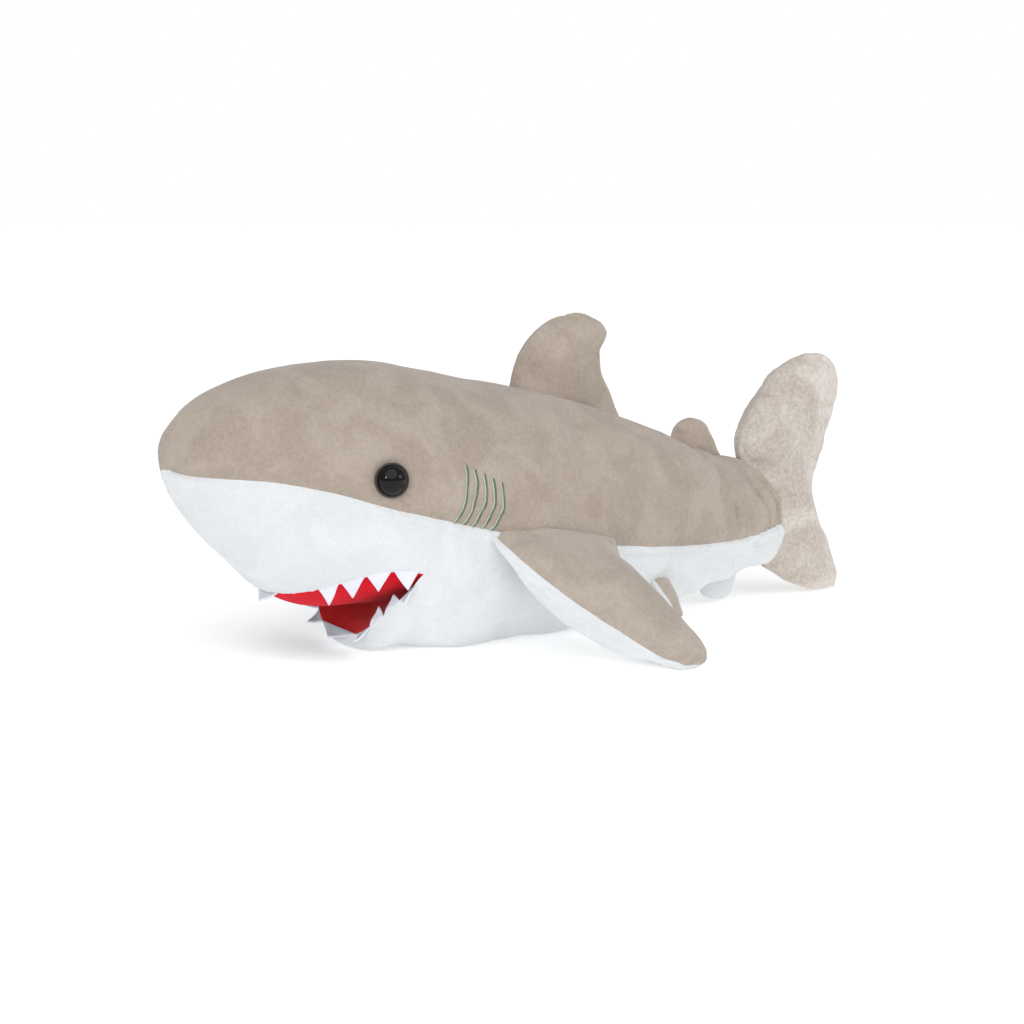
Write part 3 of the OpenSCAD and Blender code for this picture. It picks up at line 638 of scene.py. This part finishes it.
def body_depth(v, i):
    """Seams, the settling of the stuffing, folds, the dimple round each eye, and lumps."""
    s = body_s[i]
    depth = seam_depth(from_seam[i], s + v.co.z * 300) if 2 < s < TAIL_ROOT - 0.5 else 0
    held = ease((0.10 - v.co.z) / 0.05) * ease((s - 40) / 40) * ease((250 - s) / 50)
    settle = SETTLE * (1 - math.exp(-(from_seam[i] / 14) ** 2)) * min(1, s / 60, (TAIL_ROOT - s) / 30)
    depth += settle * (1 - held)
    for (line, deep, width), (low, high) in zip(folds, boxes):
        if all(low[k] < v.co[k] < high[k] for k in range(3)):
            depth += fold_depth(v.co, line, deep, width)
    for side in (1, -1):
        d = (v.co - on_side(EYE_S, EYE_Z, side)).length / MM
        depth += 2.6 * math.exp(-(d / 11) ** 2) - 1.0 * math.exp(-((d - 19) / 5) ** 2)
    lumps = noise.noise(v.co * 22) * 1.3 + noise.noise(v.co * 55) * 0.5
    return depth - lumps * (1 - 0.7 * held)


pull_in(body_tube, body_depth)
for v in body_tube.data.vertices:
    v.co.z = max(v.co.z, 0.0002)
print(len(folds), "folds pressed")

# %% Cut the tube into its pieces
def cut_piece(source, name, panels, material, nodes):
    """Keep the faces of some panels as a piece of their own."""
    bm = bmesh.new()
    bm.from_mesh(source.data)
    bmesh.ops.delete(bm, geom=[f for f in bm.faces if f.material_index not in panels], context="FACES")
    for f in bm.faces:
        f.material_index = 0
    piece = new_object(name, bm)
    piece.data.materials.clear()
    piece.data.materials.append(material)
    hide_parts(*nodes)
    print(name, "has", len(piece.data.polygons), "faces")
    return piece


back_skin = cut_piece(body_tube, "back_skin", {BACK}, taupe_plush,
                      ("back_panel", "body_filling"))
belly_skin = cut_piece(body_tube, "snout_and_belly_skin", {WHITE}, white_plush,
                       ("snout_panel", "belly_panel"))
palate_skin = cut_piece(body_tube, "palate_felt", {PALATE}, palate_felt, ("palate_lining",))
for piece, fill in ((back_skin, 0.7), (belly_skin, 0.6), (palate_skin, 0.3)):
    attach(piece, "body")
bpy.data.objects.remove(body_tube)

# %% [markdown]
# ## The lower jaw
# The chin is one white panel that runs on under the throat, and a red lining of felt sewn to its lip. Its rear
# edge is brought onto the edge of the belly, where the two are sewn. Its grid has curved rows, close together at
# the tip, so the lip stays smooth where it turns.

# %% Chin and its lining
CHIN_FRONT, CHIN_FRONT_Z, THROAT_Z = 131, 9, 31.5
JAW_ROWS, CHIN_ROWS, LINING_ROWS = 14, 21, 20
lip_x_at_corner, lip_z_at_corner = section(CORNER, cheek_angle(CORNER))


def chin_point(t, turn):
    """t runs from the chin's tip to the mouth corner, turn from 0 at the left lip to 180 at the right one."""
    own_x = lip_x_at_corner * t**0.38 * math.cos(math.radians(turn))
    own_lip = CHIN_FRONT_Z + (lip_z_at_corner - CHIN_FRONT_Z) * t**0.85
    own_bottom = 5 - 15 * min(1, t / 0.35)
    own_z = own_lip - (own_lip - own_bottom) * max(0, math.sin(math.radians(turn))) ** 0.85
    rear = section(CORNER, cheek_angle(CORNER) + (-90 - cheek_angle(CORNER)) * min(turn, 180 - turn) / 90)
    side = 1 if turn < 90 else -1
    x, z = own_x + (side * rear[0] - own_x) * t * t, own_z + (rear[1] - own_z) * t * t
    return Vector((x, NOSE_Y + CHIN_FRONT + (CORNER - CHIN_FRONT) * t, max(z, 0.2))) * MM


def lining_point(t, v):
    """The lining hangs between the lower lips, a little inside the chin; v runs from one lip to the other."""
    edge = chin_point(t, 0) / MM
    x, z = hammock(edge.x - 1.6 * t, edge.z - 0.8 * t, CHIN_FRONT_Z + (THROAT_Z - CHIN_FRONT_Z) * t, v)
    return Vector((x, edge.y, z)) * MM


def wrap_grid(bm, cols, rows, place):
    """Cut a flat grid and move its points with place(column share, row share)."""
    for v in bmesh.ops.create_grid(bm, x_segments=cols, y_segments=rows, size=0.5)["verts"]:
        v.co = place(min(1, max(0, v.co.x + 0.5)), min(1, max(0, v.co.y + 0.5)))


def chin_cloth(across, down):
    """The chin's own rows come first, and then the rows that follow the throat to its seam with the belly."""
    if down < JAW_ROWS / CHIN_ROWS:
        return chin_point((down * CHIN_ROWS / JAW_ROWS) ** 2.4, 180 * across)
    s = CORNER + (THROAT_REAR - CORNER) * (down * CHIN_ROWS - JAW_ROWS) / (CHIN_ROWS - JAW_ROWS)
    return tube_point(s, LEFT_LIP - UNDER_COLS * across, False)


def lining_cloth(across, down, tucked_from=0.9):
    """The lining, with its rear end tucked up behind the palate."""
    if down < tucked_from:
        return lining_point((down / tucked_from) ** 2, 1 - 2 * across)
    tuck = (down - tucked_from) / 0.1
    p = lining_point(1, 1 - 2 * across)
    return p + Vector((0, 5, 7 * (1 - abs(1 - 2 * across)) + 1)) * MM * tuck


def relax(bm, rounds):
    """Ease the inner points of a panel towards their neighbours, and leave its edges where they are sewn."""
    inner = [v for v in bm.verts if not v.is_boundary and v.co.z > 0]
    for _ in range(rounds):
        bmesh.ops.smooth_vert(bm, verts=inner, factor=0.5, use_axis_x=True, use_axis_y=True, use_axis_z=True)


def wrapped_piece(name, rows, place, material, rounds=0):
    bm = bmesh.new()
    wrap_grid(bm, UNDER_COLS, rows, place)
    bmesh.ops.remove_doubles(bm, verts=bm.verts, dist=SAME)
    bmesh.ops.recalc_face_normals(bm, faces=bm.faces)
    relax(bm, rounds)
    piece = new_object(name, bm)
    piece.data.materials.append(material)
    smooth_once(piece)
    return piece


chin_skin = wrapped_piece("chin_skin", CHIN_ROWS, chin_cloth, white_plush, 14)


def meet(piece, other, reach):
    """Bring the open edge of a piece onto the edge of the cloth it is sewn to, easing the cloth beside it."""
    def edge_points(obj):
        bm = bmesh.new()
        bm.from_mesh(obj.data)
        points = [v.co.copy() for v in bm.verts if v.is_boundary]
        bm.free()
        return points
    target = kdtree.KDTree(len(edge_points(other)))
    for i, p in enumerate(edge_points(other)):
        target.insert(p, i)
    target.balance()
    moves = [(p, target.find(p)[0] - p) for p in edge_points(piece) if target.find(p)[2] < reach]
    near = kdtree.KDTree(len(moves))
    for i, (p, _) in enumerate(moves):
        near.insert(p, i)
    near.balance()
    for v in piece.data.vertices:
        _, i, d = near.find(v.co)
        v.co += moves[i][1] * math.exp(-(d / (6 * MM)) ** 2)
    return len(moves)


print("chin meets the belly at", meet(chin_skin, belly_skin, 6 * MM), "points")
# The lining wears the red felt painted lighter, as if lit.
jaw_felt = wrapped_piece("jaw_felt", LINING_ROWS, lining_cloth, red_felt)
for piece, nodes, slot in ((chin_skin, ("chin_panel", "chin_filling"), "white_plush"),
                           (jaw_felt, ("jaw_lining",), "red_felt")):
    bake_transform(piece)
    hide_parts(*nodes)
for piece in (palate_skin, jaw_felt):
    piece.visible_diffuse = False
print("chin and lining sewn")

# %% [markdown]
# ## Teeth
# The teeth are cut from white felt and sewn between lip and lining, so each is a small soft triangle, thick
# enough to stand but never quite straight. One triangle is cut, divided, rounded, given its thickness and bent;
# doing this for each tooth along the lip keeps the row uneven, as hand placing does.

# %% Felt teeth along a lip
def felt_tooth(bm, a, b, tip):
    """A flat triangle on base points a and b, divided so that it can be bowed."""
    made = bmesh.ops.create_circle(bm, cap_ends=True, segments=3, radius=1)["verts"]
    for v, place in zip(made, (a, b, tip)):
        v.co = place
    face = made[0].link_faces[0]
    bmesh.ops.subdivide_edges(bm, edges=list(face.edges), cuts=5, use_grid_fill=True)


def tooth_row(name, count, lip, lean, material, nodes):
    """lean(t) gives how far the tip of the tooth at t stands out from the lip, and how far up."""
    bm = bmesh.new()
    for i in range(count):
        one = bmesh.new()
        a, b = lip(-1 + 2 * i / count), lip(-1 + 2 * (i + 1) / count)
        edge = b - a
        out = Vector((edge.y, -edge.x, 0)).normalized()
        wobble = noise.noise(Vector((i * 1.7, count, 0)))
        reach, drop = lean(-1 + (2 * i + 1) / count)
        tip = ((a + b) / 2 + out * (reach + 2 * wobble) * MM
               + Vector((0, 0, drop * (1 + 0.12 * wobble))) * MM + edge * 0.15 * wobble)
        felt_tooth(one, a + edge * 0.02, b - edge * 0.02, tip)
        normal = (b - a).cross(tip - a).normalized()
        height = (tip - (a + b) / 2).length
        for v in one.verts:
            up = min(1, max(0, (v.co - a).dot(tip - (a + b) / 2) / height**2))
            v.co += normal * math.sin(up * math.pi) * (1.2 + wobble) * MM
        bmesh.ops.recalc_face_normals(one, faces=one.faces)
        bmesh.ops.solidify(one, geom=one.faces[:], thickness=1.7 * MM)
        sharp = [e for e in one.edges if e.calc_face_angle(0) > 0.9]
        bmesh.ops.bevel(one, geom=sharp, offset=0.45 * MM, segments=2, profile=0.5, affect="EDGES", material=-1)
        tooth = bpy.data.meshes.new("tooth")
        one.to_mesh(tooth)
        one.free()
        bm.from_mesh(tooth)
        bpy.data.meshes.remove(tooth)
    bmesh.ops.recalc_face_normals(bm, faces=bm.faces)
    row = new_object(name, bm)
    row.data.materials.append(material)
    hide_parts(*nodes)
    print(name, "has", count, "teeth,", len(row.data.polygons), "faces")
    return row


def upper_lip(t):
    s = LIP_FRONT + 1 + (CORNER - LIP_FRONT - 9) * abs(t) ** 1.6
    x, z = section(s, cheek_angle(s))
    return Vector((math.copysign(x + 0.3, t), NOSE_Y + s, z + 1.6)) * MM


def lower_lip(t):
    p = chin_point(min(1, 0.05 + 0.67 * abs(t) ** 1.6), 0)
    return Vector((math.copysign(p.x - 0.6 * MM, t), p.y, p.z - 0.5 * MM))


def upper_lean(t):
    """The front tooth sticks out, those beside it are folded in under the lip, and the rest hang."""
    return (8, -9) if abs(t) < 0.1 else (-7, -4) if abs(t) < 0.4 else (2.5, -13)


def lower_lean(t):
    """The teeth at the tip flop outwards, the next ones stand, and those by the corner flop down."""
    return (10, -5) if t < 0.3 else (-2, 10) if t < 0.75 else (8, -5)


upper_teeth = tooth_row("upper_teeth_felt", 13, upper_lip, upper_lean, white_felt, ("upper_teeth",))
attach(upper_teeth, "body")
lower_teeth = tooth_row("lower_teeth_felt", 9, lower_lip, lower_lean, white_felt, ("lower_teeth",))
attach(lower_teeth, "jaw")

# %% [markdown]
# ## Eyes
# A safety eye is turned on a lathe in the mould: a glossy dome with a lower rim. So its half outline is drawn
# once and spun about the post's axis, then set on the head, square to the skin. The post and the washer are
# inside the head, and the measured ones stay.

# %% Spun eyes
def spun_ring(outline, steps=64):
    """Spin an outline of (radius, height) pairs in millimetres about the Z axis."""
    bm = bmesh.new()
    chain = [bm.verts.new((r * MM, 0, h * MM)) for r, h in outline]
    edges = [bm.edges.new(pair) for pair in zip(chain, chain[1:])]
    bmesh.ops.spin(bm, geom=chain + edges, cent=(0, 0, 0), axis=(0, 0, 1), angle=2 * math.pi, steps=steps,
                   use_merge=True)
    bmesh.ops.remove_doubles(bm, verts=bm.verts, dist=0.000001)
    bmesh.ops.recalc_face_normals(bm, faces=bm.faces)
    return bm


def set_on_head(bm, side, sink):
    n = outward(EYE_S, EYE_Z, side)
    turn = Vector((0, 0, 1)).rotation_difference(n).to_matrix().to_4x4()
    place = Matrix.Translation(on_side(EYE_S, EYE_Z, side) + n * sink * MM)
    bmesh.ops.transform(bm, matrix=place @ turn, verts=bm.verts)


dome = [(0, 8.7), (2, 8.55), (4, 8.1), (6, 7.25), (7.8, 6.1), (9.2, 4.7), (10.1, 3.2), (10.5, 1.9), (10.6, 0.9),
        (10.5, 0), (0, 0)]
rim = [(10.2, 0.2), (10.4, 1.5), (11.1, 1.9), (11.9, 1.4), (12.15, 0.7), (12, 0), (10.2, 0.2)]
for side, word in ((1, "left"), (-1, "right")):
    for outline, name, material in ((dome, "eye_dome_" + word, eye_black), (rim, "eye_rim_" + word, eye_brown)):
        bm = spun_ring(outline)
        set_on_head(bm, side, -0.6)
        piece = new_object(name, bm)
        piece.data.materials.append(material)
        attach(piece, "body")
        if outline is dome:
            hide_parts("eye_" + word)
print("two eyes, 24 mm across")

# %% [markdown]
# ## Gill lines
# Five curved lines on each side are embroidered in dull green. Each is drawn as a pale line, the thread painted
# lighter as a highlight, with a darker line close behind it that is painted shadow of the raised stitching.
# Thread lies in short slanted stitches side by side, so each line is a row of small rounded stitches that
# follow the skin, rather than one smooth cord.

# %% Satin stitches
GILL_LINES, STITCHES = 5, 46


def gill_line(i, f):
    """Where line i lies at share f of its length, as a distance behind the nose and a height."""
    s = 190 + 7 * i - 12 * f + 5 * math.sin(math.pi * f)
    z = 139 - 3.6 * i - (41 - 1.8 * i) * f
    return s, z


def on_cloth(s, z, side):
    """The stuffed skin at the place where the smooth body has s and z."""
    found, place, _, _ = back_skin.closest_point_on_mesh(on_side(s, z, side))
    return place if found else on_side(s, z, side)


for side, word in ((1, "left"), (-1, "right")):
    bm = bmesh.new()
    for i in range(GILL_LINES):
        for k in range(2 * STITCHES):
            # Every second stitch is painted shadow: a dark stitch 1.7 mm behind the pale one, where the raised
            # line's shadow falls.
            f, painted_shade = (k // 2 + 0.5) / STITCHES, k % 2
            s, z = gill_line(i, f)
            s += 1.7 * painted_shade
            p, n = on_cloth(s, z, side), outward(s, z, side)
            down = on_side(*gill_line(i, f + 0.02), side) - on_side(*gill_line(i, f - 0.02), side)
            down.normalize()
            across = n.cross(down)
            lie = Matrix((across * 0.75 + down * 0.4, down * 0.55 - across * 0.1, n * 0.55))
            lie = lie.transposed().to_4x4()
            lie.translation = p + n * 0.3 * MM
            bead = bmesh.ops.create_uvsphere(bm, u_segments=6, v_segments=5, radius=1 * MM, matrix=lie)["verts"]
            for face in {f for v in bead for f in v.link_faces}:
                face.material_index = painted_shade
    bmesh.ops.recalc_face_normals(bm, faces=bm.faces)
    stitches = new_object("gill_stitches_" + word, bm)
    stitches.data.materials.append(gill_thread_painted_highlight)
    stitches.data.materials.append(gill_painted_shadow_thread)
    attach(stitches, "body")
    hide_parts("gill_stitching_" + word)
print("two sets of five gill lines")

# %% [markdown]
# ## Fins
# Each fin is two panels sewn along its edge, turned and stuffed. It is laid out as rows from root to tip, each
# with a front point, a rear point and a thickness, and smooth curves fill in between. Two grids are wrapped on
# the two sides and their shared edge merged, so the shell is closed and can be stuffed by simulation, with the
# edge held. The root runs a few millimetres into the body, where it is sewn.

# %% Wrap and stuff a fin
def between(table, t):
    """A smooth row of the table at t, from 0 at the first row to 1 at the last."""
    table = np.asarray(table, float)
    n = len(table) - 1
    i = min(int(t * n), n - 1)
    u = t * n - i
    p0, p1, p2, p3 = table[max(i - 1, 0)], table[i], table[i + 1], table[min(i + 2, n)]
    return 0.5 * (2 * p1 + (p2 - p0) * u + (2 * p0 - 5 * p1 + 4 * p2 - p3) * u * u
                  + (3 * p1 - p0 - 3 * p2 + p3) * u**3)


def fin_shell(name, rows, cols, count, fullness=0.6, thickness_at=None, wrapped=None, wrap=0):
    """rows hold lead x y z, trail x y z and thickness in millimetres. Side 0 faces along the fin's normal.
    The cloth of the other side laps wrap columns round the front edge onto the side called wrapped."""
    table = np.array(rows, float)
    lead, trail = table[:, :3], table[:, 3:6]
    normal = Vector(np.cross(trail[1] - lead[1], lead[-1] + trail[-1] - lead[0] - trail[0])).normalized()
    bm = bmesh.new()
    near_edge, near_root = bm.verts.layers.float.new("from_edge"), bm.verts.layers.float.new("from_root")
    pin = bm.verts.layers.deform.verify()
    for side in (0, 1):
        faces_before = set(bm.faces)
        made = bmesh.ops.create_grid(bm, x_segments=cols, y_segments=count, size=0.5)["verts"]
        for f in bm.faces:
            if f not in faces_before:
                lapped = side == wrapped and f.calc_center_median().x + 0.5 < wrap / cols
                f.material_index = 1 - side if lapped else side
        for v in made:
            c, t = min(1, max(0, v.co.x + 0.5)), min(1, max(0, v.co.y + 0.5))
            row = between(table, t)
            q = (1 - math.cos(math.pi * c)) / 2
            p = row[:3] + (row[3:6] - row[:3]) * q
            half = row[6] / 2 * math.sin(math.pi * q) ** fullness
            if t > 0.85:
                half *= math.sqrt(max(0, 1 - ((t - 0.85) / 0.15) ** 2))
            if thickness_at:
                half = thickness_at(t, q, p, half)
            chord = np.linalg.norm(row[3:6] - row[:3])
            v.co = (Vector(p) + normal * (half if side == 0 else -half)) * MM
            seam_q = (1 - math.cos(math.pi * wrap / cols)) / 2
            front = abs(q - seam_q) * chord if side == wrapped else (q + seam_q) * chord
            v[near_edge] = min(front, (1 - q) * chord, (1 - t) * 60 + 3 * (wrap > 0))
            v[near_root] = t
            v[pin][0] = 1.0 if c < 0.001 or c > 0.999 or t > 0.999 or t < 1.5 / count else 0.0
    bmesh.ops.remove_doubles(bm, verts=bm.verts, dist=SAME)
    bmesh.ops.recalc_face_normals(bm, faces=bm.faces)
    shell = new_object(name, bm)
    shell.vertex_groups.new(name="stitched")
    return shell


def finish_fin(shell, pressure, limit):
    """Stuff the shell, moving no point further than limit millimetres, and press its seams and soft lumps."""
    moved = stuff(shell, pressure, limit * MM)
    smooth_once(shell)
    edge = [d.value for d in shell.data.attributes["from_edge"].data]
    pull_in(shell, lambda v, i: seam_depth(edge[i], v.co.dot(Vector((610, 740, 680))), 0.9, 1.6) * 0.4
            - 0.8 * ease(edge[i] / 12) * noise.noise(v.co * 38))
    print(shell.name, "moved up to", moved, "mm")


def sew_on(shell, pieces):
    """Cut the shell into its panels, each a piece of its own."""
    for name, panels, material, nodes, slot in pieces:
        piece = cut_piece(shell, name, panels, material, nodes)
        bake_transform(piece)
    bpy.data.objects.remove(shell)


def upright(rows):
    """Rows on the middle plane: distance behind the nose and height in front and at the rear, and a thickness."""
    return [(0, NOSE_Y + front, front_z, 0, NOSE_Y + rear, rear_z, thick)
            for front, front_z, rear, rear_z, thick in rows]


def sew_upright(shell, fin, material, slot, left_panel):
    """Sew on a fin of the middle plane, whose left panel is side left_panel of its shell."""
    left = (fin + "_left", {left_panel}, material, (fin + "_left_panel", fin + "_filling"), slot)
    right = (fin + "_right", {1 - left_panel}, material, (fin + "_right_panel",), slot)
    sew_on(shell, [left, right])


print("fin tools ready")

# %% Back fins
dorsal_rows = upright([(273, 176, 376, 148, 20), (276, 184, 371, 158, 19), (279, 194, 364, 173, 23),
                       (285, 207, 356, 190, 29), (296, 220, 354, 205, 27), (311, 230, 359, 215, 20),
                       (329, 235, 360, 221, 13), (342, 234, 355, 228, 8)])
dorsal = fin_shell("dorsal", dorsal_rows, 22, 26)
finish_fin(dorsal, 4, 3)
sew_upright(dorsal, "dorsal_fin", taupe_plush, "taupe_plush", 0)
rear_rows = upright([(419, 131, 470, 118, 12), (422, 141, 466, 125, 12), (425, 145, 461, 135, 13),
                     (431, 149, 455, 144, 11), (439, 151, 448, 149, 6)])
rear = fin_shell("rear_dorsal", rear_rows, 16, 14)
finish_fin(rear, 4, 1.5)
sew_upright(rear, "rear_dorsal_fin", taupe_plush, "taupe_plush", 0)

# %% Tail fin
tail_root = ((109, 566), (92, 560), (76, 562), (60, 568), (45, 576))  # height, and distance of the rear edge
tail_rows = upright([(552, 197.5, 567, 197, 8), (535, 192, 577, 191.5, 15), (517, 181, 583, 182, 22),
                     (506, 168, 585, 169, 27), (495, 154, 582, 153, 31), (487, 138, 576, 135, 33),
                     (484, 124, 571, 119, 34)]
                    + [(tail_seam_s(z) - 5, z, trail, z, 34) for z, trail in tail_root]
                    + [(tail_seam_s(31) - 9, 31, 582, 31, 29), (524, 18, 588, 16, 25),
                       (545, 7, 589, 8, 18), (563, 1.6, 587, 1.2, 9)])


def tail_thickness(t, q, p, half):
    """The tail starts as wide as the body's end and closes to a sewn edge at its rear and along both lobes."""
    inside = max(0, 1 - ((p[2] - 71) / 45) ** 2)
    root = 15.5 * math.sqrt(inside)
    blend = min(1, q / 0.45)
    top = 1 if t > 0.15 else math.sqrt(max(0, 1 - ((0.15 - t) / 0.15) ** 2))
    half = half * top
    return root * (1 - blend) ** 1.5 + half * (1 - (1 - blend) ** 1.5 * (1 if inside > 0 else 0))


tail = fin_shell("tail", tail_rows, 24, 60, fullness=0.46, thickness_at=tail_thickness)
finish_fin(tail, 4, 4)
sew_upright(tail, "tail_fin", tail_plush, "pale_taupe_plush", 1)

# %% Side fins
def paired(rows, side):
    """Rows for one side: x, distance behind the nose and height in front and at the rear, and a thickness."""
    return [(side * front_x, NOSE_Y + front, front_z, side * rear_x, NOSE_Y + rear, rear_z, thick)
            for front_x, front, front_z, rear_x, rear, rear_z, thick in rows]


pectoral_rows = [(86, 207, 92, 84, 316, 75, 12), (94, 208, 85, 91, 314, 69, 18),
                 (105, 213, 74, 102, 312, 60, 30), (121, 227, 54.5, 118, 313, 47, 46),
                 (142, 246, 35.5, 141, 317, 33, 46), (163, 267, 20, 163, 323, 20, 37),
                 (180, 285, 9.5, 182, 327, 10.5, 24), (190, 298, 5, 191, 322, 5.5, 13),
                 (194.5, 306, 4, 195, 316, 4, 8)]
pelvic_rows = [(62, 362, 38, 48, 386, 34, 9), (72, 362, 31, 56, 384, 28, 11), (78, 365, 23, 60, 384, 21, 13),
               (80, 370, 15, 66, 385, 14, 10), (79, 376, 9, 73, 384, 9, 6)]
for side, word in ((1, "left"), (-1, "right")):
    near, far = (0, 1) if side > 0 else (1, 0)
    pectoral = fin_shell("pectoral_" + word, paired(pectoral_rows, side), 26, 34, 0.5, wrapped=far, wrap=3)
    finish_fin(pectoral, 4, 4)
    sew_on(pectoral, [(f"pectoral_{word}_top", {far}, fin_plush,
                       (f"pectoral_{word}_top_panel", f"pectoral_{word}_filling"), "taupe_plush"),
                      (f"pectoral_{word}_under", {near}, white_plush,
                       (f"pectoral_{word}_bottom_panel",), "white_plush")])
    pelvic = fin_shell("pelvic_" + word, paired(pelvic_rows, side), 12, 12, wrapped=far, wrap=2)
    finish_fin(pelvic, 3, 1)
    sew_on(pelvic, [(f"pelvic_{word}_outer", {far}, fin_plush,
                     (f"pelvic_{word}_outer_panel", f"pelvic_{word}_filling"), "taupe_plush"),
                    (f"pelvic_{word}_inner", {near}, white_plush,
                     (f"pelvic_{word}_inner_panel",), "white_plush")])

# %% Fin under the tail
anal_rows = upright([(447, 20, 489, 27, 10), (450, 13, 485, 17, 12), (452, 8, 482, 9, 13),
                     (457, 5, 479, 5.5, 10), (463, 3, 474, 3, 6)])
anal = fin_shell("anal", anal_rows, 12, 12)
finish_fin(anal, 3, 1)
sew_upright(anal, "anal_fin", white_plush, "white_plush", 1)

# %% [markdown]
# ## The pieces inside
# The washers that lock the eyes are inside the head. They keep their measured shape and get a finish of moulded
# plastic, in case the part is ever shown open.

# %% Washers
washer_plastic, tree, shader, place = start_material("washer plastic", 0.4)
moulded = add_mix(tree, add_noise(tree, place, 200, 2), srgb(228, 228, 224), srgb(240, 240, 238))
tree.links.new(moulded, shader.inputs["Base Color"])
for word in ("left", "right"):
    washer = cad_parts["eye_washer_" + word]
    washer.data.materials.clear()
    washer.data.materials.append(washer_plastic)
print("washers finished")
